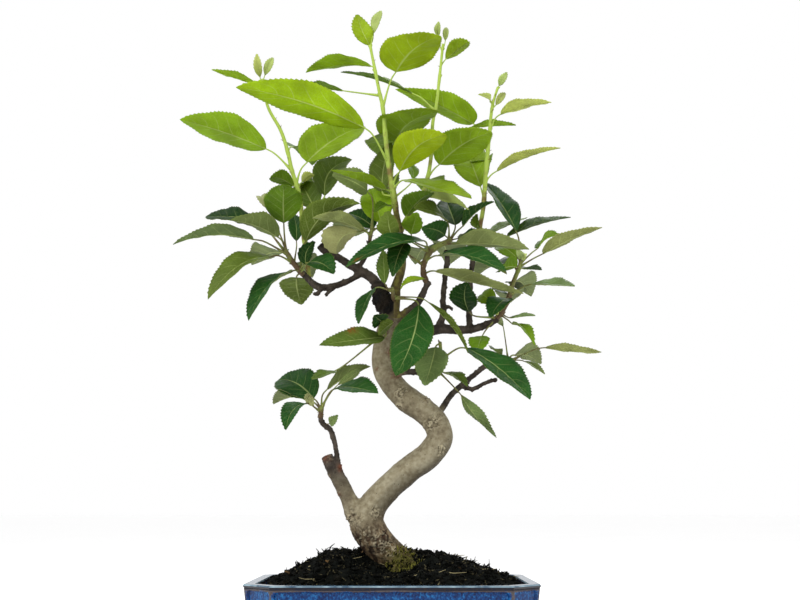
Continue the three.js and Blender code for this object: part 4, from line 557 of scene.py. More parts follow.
             -0.6, 0.03, 0.44),
        Leaf("lime", (435.4, 347.4), (424.7, 385.7), (-13, -32), 12.6, Tone.GREY_GREEN, (440, 344), 15, 2.3,
             14, 1.2, -0.01, 0.47),
    )),
    Shoot("front", Limb("stem", (
        (394, 300, -6, 1.6), (393, 295, -12, 1.5), (392, 287, -14, 1.1)
    )), (
        Leaf("big", (418.8, 305.4), (395.7, 376.1), (-20, -66), 14.8, Tone.DARK, (393, 298), 18, 0.1, 6,
             3.4, -0.01, 0.49),
        Leaf("olive", (384.9, 283.5), (383, 250.6), (-14, -4), 5.7, Tone.OLIVE, (392, 291), 24, 2.3, 17,
             -1.1, -0.02, 0.43),
        Leaf("dark_low", (373.8, 289.1), (358.9, 324), (-16, -40), 8, Tone.DARK, (392, 292), 56, 2.9, 15,
             1.3, -0.01, 0.43),
        Leaf("edge", (429, 302.8), (467.8, 353.2), (-16, -34), 5.2, Tone.OLIVE, (393, 297), 111, 4.2, 21,
             2.2, -0.07, 0.46),
    )),
    Shoot("trunkLeft", Limb("stem", (
        (387, 334, 0, 1.6), (386, 332, -8, 1.6), (385, 330, -13, 1.1)
    )), (
        Leaf("scarred", (383.7, 337.4), (319.2, 345.4), (-16, -46), 10.7, Tone.OLIVE, (385, 331), 49, 2.3,
             19, 2, 0.08, 0.41),
        Leaf("dark", (382.3, 321.9), (373.8, 315.1), (-20, -36), 7, Tone.DEEP, (385, 331), -4, 1.4, 16, 0.1,
             0.24, 0.52),
        Leaf("pale", (393.6, 321.7), (378.7, 334.5), (-18, -32), 5.5, Tone.OLIVE, (385, 331), 141, 1.1, 19,
             0.1, 0.01, 0.41),
        Leaf("low", (334.2, 371.2), (311.8, 379.5), (-26, -36), 7.7, Tone.OLIVE, (385, 332), 67, 0.6, 13,
             1.4, -0.05, 0.44),
    )),
    Shoot("stump", Limb("stem", (
        (320, 418, -2, 1.7), (321, 412, -3, 1.7), (322, 406, -4, 1.3)
    )), (
        Leaf("dark_left", (313.8, 398.5), (278, 380.7), (2, 44), 13.9, Tone.DARK, (321, 410), 18, 4.1, 19,
             -3.4, 0.48, 0.4),
        Leaf("pale", (313.6, 406.2), (308.3, 393.6), (-6, -12), 3.5, Tone.PALE, (321, 409), 164, 1.9, 16,
             -1.9, 0.01, 0.44),
        Leaf("hanging", (304.6, 403.9), (285.9, 430.2), (-8, -40), 8.1, Tone.DARK, (320, 412), 39, 4, 23,
             -2, 0.01, 0.4),
        Leaf("long", (337, 388), (378.3, 393.5), (-12, -46), 11.5, Tone.DARK, (322, 408), 59, 2.9, 14, -1.3,
             0.04, 0.44),
        Leaf("grey_up", (327.3, 389.2), (370.5, 366.7), (4, 30), 10, Tone.GREY_GREEN, (322, 409), 117, 3.1,
             17, 1, 0.11, 0.41),
        Leaf("lime", (338.1, 384.8), (359, 368.7), (-4, -18), 3.8, Tone.GREY_GREEN, (322, 407), 149, 2.6,
             15, 2.8, 0.02, 0.45),
        Leaf("bud_leaf", (329.8, 423.6), (338, 414.9), (-4, -8), 3.6, Tone.GREY_GREEN, (320, 417), 18, 2.6,
             17, -1, 0.02, 0.4),
    ), Rear(0.4, 0.9, 1, 46, 12, 2.6, 120, 20)),
)

FOOT_PIXEL = (401, 562)
BURR_PIXEL = (382, 301)
LEADER_ACROSS = 399
KNOTS = (
    Knot(0.30, 2.6, 0.30, 0.035), Knot(0.52, 1.2, 0.16, 0.030), Knot(0.60, 1.9, 0.18, 0.025),
    Knot(0.74, 1.4, 0.20, 0.025),
)
SCARS: tuple[Scar, ...] = (
    Scar((432, 422), 5.6, 1.1, 0.0), Scar((440, 449), 4.2, 0.9, 0.0), Scar((375, 512), 4.6, 1.0, 0.0),
    Scar((352, 518), 6.4, 1.4, 0.1), Scar((396, 374), 4.2, 1.0, 0.75), Scar((400, 392), 5.0, 0.8, 0.0),
    Scar((341, 467), 3.2, 1.0, 0.85), Scar((326, 457), 4.0, 0.4, 0.6), Scar((426, 400), 3.4, 1.0, 0.15),
    Scar((399, 406), 3.0, 0.6, 0.0), Scar((396, 500), 2.2, 0.8, 0.15), Scar((377, 369), 2.2, 0.8, 0.5),
    Scar((339, 494), 2.0, 0.9, 0.4), Scar((328, 477), 2.0, 0.9, 0.4), Scar((397, 206), 2.6, 0.5, 0.8),
    Scar((390, 352), 4.0, 0.5, 0.5), Scar((378, 540), 7.0, 0.9, 0.0), Scar((366, 535), 6.0, 0.9, 0.0),
    Scar((388, 548), 6.0, 0.9, 0.0),
)
BLEMISHES: dict[tuple[str, str], tuple[Blemish, ...]] = {
    ("leftCentre", "pale"): (Blemish(1.0, 0.0, 0.14),),
    ("centre", "long_left"): (Blemish(0.87, 0.1, 0.3),),
    ("centre", "dark_right"): (Blemish(1.0, 0.0, 0.35),),
    ("trunkLeft", "scarred"): (Blemish(0.45, -0.85, 0.3), Blemish(0.52, -0.8, 0.22)),
}


class Recipe:
    """One material's node graph, wired with a few short calls."""

    def __init__(self, name: str) -> None:
        """Start a material that holds one Principled shader."""
        self.material = bpy.data.materials.new(name)
        self.material.use_nodes = True
        self.tree = self.material.node_tree
        self.shader = self.tree.nodes["Principled BSDF"]
        self.where = self.node("ShaderNodeTexCoord").outputs["Object"]

    def node(self, kind: str, **settings: object) -> Node:
        """Add a node and set its own properties."""
        made = self.tree.nodes.new(kind)
        for name, value in settings.items():
            setattr(made, name, value)
        return made

    def feed(self, socket: NodeSocket, value: object) -> None:
        """Give a socket a link or a plain value."""
        if isinstance(value, NodeSocket):
            self.tree.links.new(value, socket)
        else:
            socket.default_value = value

    def math(self, operation: str, *values: object) -> NodeSocket:
        """Return the result of a Math node on links or numbers."""
        made = self.node("ShaderNodeMath", operation=operation)
        for socket, value in zip(made.inputs, values):
            self.feed(socket, value)
        return made.outputs[0]

    def mix(self, share: object, first: object, second: object,
            way: str = "MIX") -> NodeSocket:
        """Return the mix of two colours."""
        made = self.node("ShaderNodeMix", data_type="RGBA", blend_type=way)
        self.feed(made.inputs["Factor"], share)
        self.feed(made.inputs["A"], first)
        self.feed(made.inputs["B"], second)
        return made.outputs["Result"]

    def step(self, value: object, low: float, high: float,
             out: tuple[float, float] = (0.0, 1.0)) -> NodeSocket:
        """Return a value eased from one end to the other between two bounds."""
        made = self.node("ShaderNodeMapRange", interpolation_type="SMOOTHSTEP")
        for name, number in zip(("From Min", "From Max", "To Min", "To Max"), (low, high, *out)):
            made.inputs[name].default_value = number
        self.feed(made.inputs["Value"], value)
        return made.outputs["Result"]

    def ramp(self, value: object, stops: Sequence[tuple[float, Sequence[float]]]) -> NodeSocket:
        """Return the colour that a ramp of stops gives a value."""
        made = self.node("ShaderNodeValToRGB")
        band = made.color_ramp.elements
        while len(band) < len(stops):
            band.new(0.5)
        for element, (place, colour) in zip(band, stops):
            element.position = place
            element.color = colour
        self.feed(made.inputs["Fac"], value)
        return made.outputs["Color"]

    def grain(self, scale: float, detail: float = 3.0, stretch: Sequence[float] = (1, 1, 1),
              warp: float = 0.0) -> NodeSocket:
        """Return noise on the piece's own coordinates."""
        placed = self.node("ShaderNodeMapping")
        placed.inputs["Scale"].default_value = stretch
        self.feed(placed.inputs["Vector"], self.where)
        made = self.node("ShaderNodeTexNoise")
        made.inputs["Scale"].default_value = scale
        made.inputs["Detail"].default_value = detail
        made.inputs["Distortion"].default_value = warp
        self.feed(made.inputs["Vector"], placed.outputs["Vector"])
        return made.outputs["Fac"]

    def cells(self, scale: float, feature: str = "DISTANCE_TO_EDGE") -> NodeSocket:
        """Return the distance in a pattern of cells on the piece's own coordinates."""
        made = self.node("ShaderNodeTexVoronoi", feature=feature)
        made.inputs["Scale"].default_value = scale
        self.feed(made.inputs["Vector"], self.where)
        return made.outputs["Distance"]

    def attribute(self, name: str, output: str = "Fac") -> NodeSocket:
        """Return one of the mesh's own attributes."""
        return self.node("ShaderNodeAttribute", attribute_name=name).outputs[output]

    def relief(self, height: object, depth: float, strength: float = 1.0) -> None:
        """Raise the surface's look by a height map.

        Args:
            height: The link that carries the height.
            depth: The height of a full step, in metres.
            strength: The share of the relief that shows.
        """
        made = self.node("ShaderNodeBump")
        made.inputs["Distance"].default_value = depth
        made.inputs["Strength"].default_value = strength
        self.feed(made.inputs["Height"], height)
        self.feed(self.shader.inputs["Normal"], made.outputs["Normal"])

    def dress(self, colour: object, roughness: object, **values: float) -> Material:
        """Set the shader's colour and roughness, and any other socket by its name."""
        self.feed(self.shader.inputs["Base Color"], colour)
        self.feed(self.shader.inputs["Roughness"], roughness)
        for name, value in values.items():
            self.shader.inputs[name.replace("_", " ")].default_value = value
        return self.material


@dataclass(frozen=True)
class LeafFinish:
    """One face of a leaf: veins in a lighter green, a fine net between them, and mottled colour."""

    name: str
    rib_share: float
    vein_share: float
    roughness: float
    glow: float
    raised: float
    shine: float
    vein: Colour = linear(196, 208, 130)
    brown: Colour = linear(112, 66, 26)
    edge: Colour = linear(150, 150, 60)
    lit: Colour = linear(190, 205, 60)

    def material(self) -> Material:
        """Wire the finish from the blade's own along, across, tone and blemish attributes."""
        mix = Recipe(self.name)
        tone = mix.attribute("tone", "Color")
        across = mix.attribute("across")
        out = mix.math("ABSOLUTE", across)
        right = mix.math("MULTIPLY", mix.math("GREATER_THAN", across, 0.0), 0.5)
        lean = mix.math("MULTIPLY", mix.math("POWER", out, VEIN_CURVE), VEIN_LEAN)
        along = mix.attribute("along")
        wander = mix.math("SINE", mix.math("MULTIPLY_ADD", along, 9.0, mix.math("MULTIPLY", across, 2.6)))
        aside = mix.math("MULTIPLY_ADD", wander, VEIN_WANDER, right)
        count = mix.math("MULTIPLY_ADD", along, VEIN_PAIRS, aside)
        gap = mix.math("PINGPONG", mix.math("SUBTRACT", count, lean), 0.5)
        veins = mix.math("MULTIPLY", mix.step(gap, 0.01, 0.06, (1.0, 0.0)),
                         mix.step(out, 0.4, 1.0, (1.0, 0.1)))
        slim = mix.math("DIVIDE", out, mix.math("SUBTRACT", 1.15, along))
        rib = mix.math("MULTIPLY", mix.step(slim, 0.018, 0.07, (1.0, 0.0)), self.rib_share)
        net = mix.math("MULTIPLY", mix.step(mix.cells(560), 0.0, 0.13, (1.0, 0.0)), 0.3)
        marks = mix.math("MULTIPLY", mix.math("MAXIMUM", veins, net), self.vein_share)
        painted = mix.mix(mix.math("MAXIMUM", marks, rib), tone, mix.mix(0.7, tone, self.vein))
        broad = mix.step(mix.grain(55, 2), 0.3, 0.7, (0.80, 1.16))
        fine = mix.step(mix.grain(700, 2), 0.3, 0.7, (0.93, 1.07))
        shade = mix.math("MULTIPLY", broad, fine)
        shaded = mix.node("ShaderNodeVectorMath", operation="SCALE")
        mix.feed(shaded.inputs[0], painted)
        mix.feed(shaded.inputs["Scale"], shade)
        at_edge = mix.math("MULTIPLY", mix.step(out, 0.92, 1.0), 0.14)
        rimmed = mix.mix(at_edge, shaded.outputs["Vector"], self.edge)
        worn = mix.math("MULTIPLY", mix.attribute("blemish"), mix.step(mix.grain(420, 3), 0.3, 0.55))
        final = mix.mix(worn, rimmed, self.brown)
        mix.relief(mix.math("ADD", mix.math("MULTIPLY", marks, self.raised),
                            mix.math("MULTIPLY", mix.grain(1500, 2), 0.2)), 0.0002)
        gloss = (self.roughness - 0.06, self.roughness + 0.08)
        mix.dress(final, mix.step(mix.grain(260, 2), 0.3, 0.7, gloss), Specular_IOR_Level=self.shine)
        through = mix.node("ShaderNodeBsdfTranslucent")
        mix.feed(through.inputs["Color"], mix.mix(0.4, final, self.lit))
        both = mix.node("ShaderNodeMixShader")
        both.inputs["Fac"].default_value = self.glow
        mix.tree.links.new(mix.shader.outputs["BSDF"], both.inputs[1])
        mix.tree.links.new(through.outputs["BSDF"], both.inputs[2])
        mix.tree.links.new(both.outputs["Shader"], mix.tree.nodes["Material Output"].inputs["Surface"])
        return mix.material


@dataclass(frozen=True)
class StemFinish:
    """A green stem or leaf stalk, browner where it is old, with small pale pores."""

    name: str
    green: Colour
    brown: Colour
    pore: Colour = linear(176, 172, 110)

    def material(self) -> Material:
        """Wire the finish from the shoot's own age attribute."""
        mix = Recipe(self.name)
        patchy = mix.math("ADD", mix.attribute("age"), mix.step(mix.grain(120, 3), 0.35, 0.7, (-0.25, 0.25)))
        ground = mix.mix(mix.step(patchy, 0.2, 0.9), self.green, self.brown)
        pores = mix.step(mix.cells(420, "F1"), 0.10, 0.22, (0.45, 0.0))
        mix.relief(mix.grain(500, 4, (1, 1, 0.35)), 0.0003)
        return mix.dress(mix.mix(pores, ground, self.pore), 0.6, Specular_IOR_Level=0.2)


@dataclass(frozen=True)
class BarkFinish:
    """Grey-olive bark, dark and flaky on the branches, red-brown at cuts and mottled at the foot."""

    pale: Colour = linear(152, 145, 122)
    ground: Colour = linear(126, 117, 94)
    dull: Colour = linear(94, 84, 66)
    branch: Colour = linear(74, 66, 58)
    black: Colour = linear(6, 5, 4)
    green: Colour = linear(104, 100, 48)
    rust: Colour = linear(118, 66, 44)
    moss: Colour = linear(84, 80, 38)
    pore: Colour = linear(58, 46, 34)
    sap_brown: Colour = linear(82, 72, 40)
    soot: Colour = linear(26, 21, 15)
    foot_brown: Colour = linear(98, 76, 52)
    stain: Colour = linear(60, 42, 30)
    stain_dark: Colour = linear(28, 18, 12)
    shadow: Colour = linear(36, 28, 18)
    ridge: Colour = linear(178, 168, 140)
    rust_dark: Colour = linear(84, 46, 26)

    def material(self) -> Material:
        """Wire the finish from coordinates and the wood's own painted attributes."""
        mix = Recipe("grey_bark")
        broad = mix.grain(38, 5, (1, 1, 1), 0.5)
        fine = mix.grain(330, 5)
        skin = mix.ramp(mix.math("MULTIPLY_ADD", fine, 0.45, mix.math("MULTIPLY", broad, 0.55)),
                        ((0.36, self.dull), (0.5, self.ground), (0.66, self.pale)))
        pores = mix.step(mix.cells(250, "F1"), 0.05, 0.15, (0.75, 0.0))
        dotted = mix.mix(pores, skin, self.pore)
        flakes = mix.step(mix.grain(150, 6), 0.38, 0.62)
        dark = mix.mix(flakes, mix.mix(0.6, self.branch, self.black), self.branch)
        aged = mix.mix(mix.attribute("branch"), dotted, dark)
        speckle = mix.step(fine, 0.4, 0.6)
        sappy = mix.mix(mix.attribute("sap"), aged, mix.mix(speckle, self.green, self.sap_brown))
        charred = mix.mix(mix.attribute("char"), sappy, mix.mix(flakes, self.black, self.soot))
        foot = mix.attribute("foot")
        patches = mix.math("MULTIPLY", foot, mix.step(mix.grain(190, 6), 0.42, 0.52))
        worn = mix.mix(mix.math("MULTIPLY", foot, 0.75), charred, self.foot_brown)
        stained = mix.mix(patches, worn, mix.mix(speckle, self.stain_dark, self.stain))
        tufted = mix.math("MULTIPLY", mix.attribute("moss"), mix.step(fine, 0.35, 0.6, (0.4, 1.0)))
        mossy = mix.mix(tufted, stained, self.moss)
        low = mix.mix(mix.attribute("shade"), mossy, mix.mix(0.85, mossy, self.shadow))
        rimmed = mix.mix(mix.attribute("rim"), low, self.ridge)
        final = mix.mix(mix.attribute("cut"), rimmed, mix.mix(speckle, self.rust, self.rust_dark))
        mix.relief(mix.math("ADD", mix.math("MULTIPLY", broad, 0.5), fine), 0.0005)
        return mix.dress(final, mix.step(fine, 0.3, 0.7, (0.85, 0.7)), Specular_IOR_Level=0.15)


@dataclass(frozen=True)
class GlazeFinish:
    """Mottled blue glaze that breaks brown along the edges, with a pale painted highlight line over a dark
    band on the rim.

    Band, line and crest are where each fades out below the pot's top, in millimetres.
    """

    top: float
    deep: Colour = linear(0, 22, 64)
    blue: Colour = linear(0, 50, 104)
    bright: Colour = linear(28, 104, 160)
    brown: Colour = linear(34, 26, 28)
    ink: Colour = linear(8, 14, 34)
    # Thin is the pale colour of the painted highlight along the rim's crest.
    thin: Colour = linear(140, 162, 172)
    steel: Colour = linear(50, 74, 94)
    worn: Colour = linear(92, 84, 84)
    band: tuple[float, float] = (4.6, 5.2)
    line: tuple[float, float] = (0.8, 1.2)
    crest: tuple[float, float] = (0.05, 0.15)

    def material(self) -> Material:
        """Wire the finish from coordinates and the pot's own edge attribute."""
        mix = Recipe("blue_glaze")
        runs = mix.grain(60, 4, (1, 1, 0.6), 1.0)
        flecks = mix.grain(760, 4, (1, 1, 0.8), 0.4)
        both = mix.math("MULTIPLY_ADD", flecks, 0.72, mix.math("MULTIPLY", runs, 0.28))
        pooled = mix.ramp(both, ((0.38, self.deep), (0.52, self.blue), (0.68, self.bright)))
        break_up = mix.step(mix.grain(260, 4), 0.3, 0.7, (-0.25, 0.25))
        edge = mix.step(mix.math("ADD", mix.attribute("edge"), break_up), 0.3, 0.8)
        edged = mix.mix(edge, pooled, mix.mix(flecks, self.brown, self.worn))
        parted = mix.node("ShaderNodeSeparateXYZ")
        mix.feed(parted.inputs[0], mix.where)
        below = mix.math("SUBTRACT", self.top, parted.outputs["Z"])
        sagged = mix.math("MULTIPLY_ADD", mix.grain(24, 3), 0.003, below)

        def above(depth: NodeSocket, fade: tuple[float, float]) -> NodeSocket:
            """Return 1 near the pot's top, falling to 0 over a span of millimetres below it."""
            return mix.step(depth, fade[0] * MM, fade[1] * MM, (1.0, 0.0))

        band = above(sagged, self.band)
        banded = mix.mix(band, edged, mix.mix(mix.step(flecks, 0.4, 0.6), self.brown, self.ink))
        # Painted highlight: a pale line just below the pot's top, broken with steel blue.
        line = above(below, self.line)
        highlight_lined = mix.mix(line, banded, mix.mix(mix.step(runs, 0.3, 0.7), self.thin, self.steel))
        final = mix.mix(above(below, self.crest), highlight_lined, self.steel)
        mix.relief(mix.grain(90, 3), 0.0004, 0.3)
        rough = mix.step(flecks, 0.3, 0.7, (0.12, 0.22))
        return mix.dress(final, rough, Specular_IOR_Level=0.2)


@dataclass(frozen=True)
class LooseFinish:
    """A dull, speckled finish for soil, fibres, chips and moss."""

    name: str
    dark: Colour
    light: Colour
    scale: float
    roughness: float = 0.95

    def material(self) -> Material:
        """Wire the finish from coordinates and each bit's own hue attribute."""
        mix = Recipe(self.name)
        speckle = mix.step(mix.grain(self.scale, 4), 0.3, 0.7, (-0.3, 0.3))
        share = mix.math("ADD", mix.attribute("hue"), speckle)
        mix.relief(mix.grain(self.scale * 2.2, 5), 0.0008)
        return mix.dress(mix.mix(mix.step(share, 0.0, 1.0), self.dark, self.light), self.roughness,
                         Specular_IOR_Level=0.04)


@dataclass(frozen=True)
class MeshFinish:
    """The black plastic of the drain meshes, faintly moulded."""

    black: Colour = linear(26, 26, 28)
    grey: Colour = linear(44, 44, 46)

    def material(self) -> Material:
        """Wire the finish from coordinates."""
        mix = Recipe("drain_plastic")
        mix.relief(mix.grain(900, 3), 0.0002)
        return mix.dress(mix.ramp(mix.grain(200, 2), ((0.3, self.black), (0.7, self.grey))), 0.55)


VEIN_PAIRS = 6.5
VEIN_LEAN = 1.45
VEIN_CURVE = 1.25
VEIN_WANDER = 0.16
GOLDEN_ANGLE = math.radians(137.5)
UPPER, UNDER, STALK = 0, 1, 2
PALE_UNDER = linear(*Tone.PALE.value)
DEEP_GREEN = linear(*Tone.DARK.value)


def vein_gap(along: float, across: float) -> float:
    """Return how far a place on a blade is from its nearest side vein, as a share of their spacing."""
    count = along * VEIN_PAIRS - VEIN_LEAN * abs(across) ** VEIN_CURVE + (0.5 if across > 0 else 0.0)
    count += VEIN_WANDER * math.sin(9 * along + 2.6 * across)
    return abs(count - round(count))


def bell(distance: float, width: float) -> float:
    """Return 1 at no distance, falling smoothly towards 0 past a width."""
    return math.exp(-((distance / width) ** 2))


def add_tube(mesh: BMesh, course: Course, radius: Callable[[float], float], sides: int, steps: int,
             relief: Callable[[float, float], float] | None = None) -> list[BMVert]:
    """Add a closed tube that follows a course.

    Args:
        mesh: The mesh that takes the tube.
        course: The line through the tube's middle.
        radius: The radius at a share of the length.
        sides: How many sides the tube has.
        steps: How many rings of faces it has.
        relief: A factor on the radius at a share of the length and an angle.

    Returns:
        The tube's vertices.
    """
    made = bmesh.ops.create_cone(mesh, cap_ends=True, segments=sides, radius1=1.0, radius2=1.0,
                                 depth=1.0)["verts"]
    uprights = {e for v in made for e in v.link_edges if abs(e.verts[0].co.z - e.verts[1].co.z) > 0.5}
    cut = bmesh.ops.subdivide_edges(mesh, edges=list(uprights), cuts=steps - 1, use_grid_fill=True)
    inner = [part for part in cut["geom_inner"] if isinstance(part, BMVert)]
    verts = {vert for face in faces_of(inner) for vert in face.verts}
    across = None
    rings = []
    for step in range(steps + 1):
        heading = course.heading(step / steps)
        across = square_to(across or Vector((heading.z, 0.3, -heading.x)), heading)
        rings.append((course.at(step / steps), across, across.cross(heading)))
    for vert in verts:
        share = vert.co.z + 0.5
        middle, forward, side = rings[round(share * steps)]
        angle = math.atan2(vert.co.y, vert.co.x)
        out = radius(share) * (relief(share, angle) if relief else 1.0)
        vert.co = middle + forward * (math.cos(angle) * out) + side * (math.sin(angle) * out)
    return list(verts)


def faces_of(verts: Iterable[BMVert]) -> list[BMFace]:
    """Return the faces that touch any of the vertices."""
    return list({face for vert in verts for face in vert.link_faces})


def finish_piece(name: str, mesh: BMesh, materials: Sequence[Material],
                 replaced: Sequence[str] = (), smooth: bool = True) -> Object:
    """Turn a mesh in millimetres into a finished piece of the object.

    Args:
        name: The piece's name.
        mesh: The mesh, which is freed.
        materials: Its materials, in the order of its faces' material numbers.
        replaced: The frame's nodes that the piece stands for.
        smooth: Whether its faces are shaded smooth.

    Returns:
        The piece, riding on the object.
    """
    bmesh.ops.transform(mesh, matrix=Matrix.Translation(SHIFT) @ Matrix.Scale(MM, 4), verts=mesh.verts)
    bmesh.ops.recalc_face_normals(mesh, faces=mesh.faces)
    for face in mesh.faces:
        face.smooth = smooth
    data = bpy.data.meshes.new(name)
    mesh.to_mesh(data)
    mesh.free()
    return adopt_piece(name, data, materials, replaced)


def adopt_piece(name: str, data: Mesh, materials: Sequence[Material],
                replaced: Sequence[str] = ()) -> Object:
    """Make mesh data a piece that rides on the object, and report it.

    Args:
        name: The piece's name.
        data: Its mesh, in metres.
        materials: Its materials.
        replaced: The frame's nodes that the piece stands for.

    Returns:
        The piece.
    """
    for material in materials:
        data.materials.append(material)
    piece = bpy.data.objects.new(name, data)
    bpy.context.scene.collection.objects.link(piece)
    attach(piece, "root")
    if replaced:
        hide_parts(*replaced)
    LOG.info("%s: %d faces", name, len(data.polygons))
    return piece


@dataclass
class Blade:
    """The form of one leaf blade, as the part's source shapes it."""

    base: Vector
    tip: Vector
    half: float
    top: Vector
    arch: float
    fold: float
    sway: float
    twist: float
    wave: float
    shear: float = 0.0
    bulge: float = 0.42
    axis: Vector = field(init=False)

    def __post_init__(self) -> None:
        """Work out the way the blade points."""
        self.axis = (self.tip - self.base).normalized()

    @classmethod
    def from_view(cls, leaf: Leaf) -> "Blade":
        """Make the blade of a leaf that is read off the view."""
        base, tip = seen(leaf.base, leaf.deep[0]), seen(leaf.tip, leaf.deep[1])
        axis = (tip - base).normalized()
        facing = square_to((EYE - (base + tip) / 2).normalized(), axis)
        upward = axis.cross(facing)
        if upward.z - 0.25 * upward.x < 0:
            upward.negate()
        turn = math.radians(leaf.roll)
        top = facing * math.cos(turn) + upward * math.sin(turn)
        return cls(base, tip, leaf.half, top, leaf.arch, math.radians(leaf.fold), leaf.sway,
                   math.radians(leaf.twist), 0.06, leaf.shear, leaf.bulge)

    @classmethod
    def behind(cls, foot: Vector, rear: Rear, step: int) -> "Blade":
        """Make one of the blades behind a stem."""
        swing = ((rear.phase + step * GOLDEN_ANGLE) % math.pi) / math.pi
        turn = math.radians(rear.toward + rear.spread * (2 * swing - 1))
        climb = 0.25 + 0.2 * (vary(step + rear.phase) - 0.5)
        out = Vector((math.cos(turn), math.sin(turn), climb)).normalized()
        size = 0.85 + 0.3 * vary(7 * step + rear.phase)
        base = foot + out * (15 * size) + Vector((0, 0, 4))
        tip = base + out * (rear.length * size) - Vector((0, 0, 0.22 * rear.length * size))
        axis = (tip - base).normalized()
        lean = math.radians(50 * (vary(3 * step + rear.phase) - 0.5))
        top = Quaternion(axis, lean) @ square_to(Vector((0, 0, 1)), axis)
        return cls(base, tip, rear.half * size, top, 5.0, 0.3, 2 * vary(step) - 1, 0.3, 0.07)

    @property
    def length(self) -> float:
        """Return the distance from base to tip."""
        return (self.tip - self.base).length

    def rib(self, along: float) -> Vector:
        """Return a place on the rib."""
        bow = 4 * along * (1 - along)
        side = self.top.cross(self.axis)
        return self.base.lerp(self.tip, along) + self.top * (self.arch * bow) + side * (self.sway * bow)

    def frame_at(self, along: float) -> tuple[Vector, Vector, Vector, float]:
        """Return the rib's place, the way across, the way up and the half width at a share of the length."""
        ahead = (self.rib(min(1.0, along + 0.01)) - self.rib(max(0.0, along - 0.01))).normalized()
        top = square_to(Quaternion(self.axis, self.twist * (along - 0.5)) @ self.top, ahead)
        spread = along ** (math.log(0.5) / math.log(self.bulge))
        share = max(0.0, math.sin(math.pi * spread)) ** 0.78
        return self.rib(along), top.cross(ahead), top, share


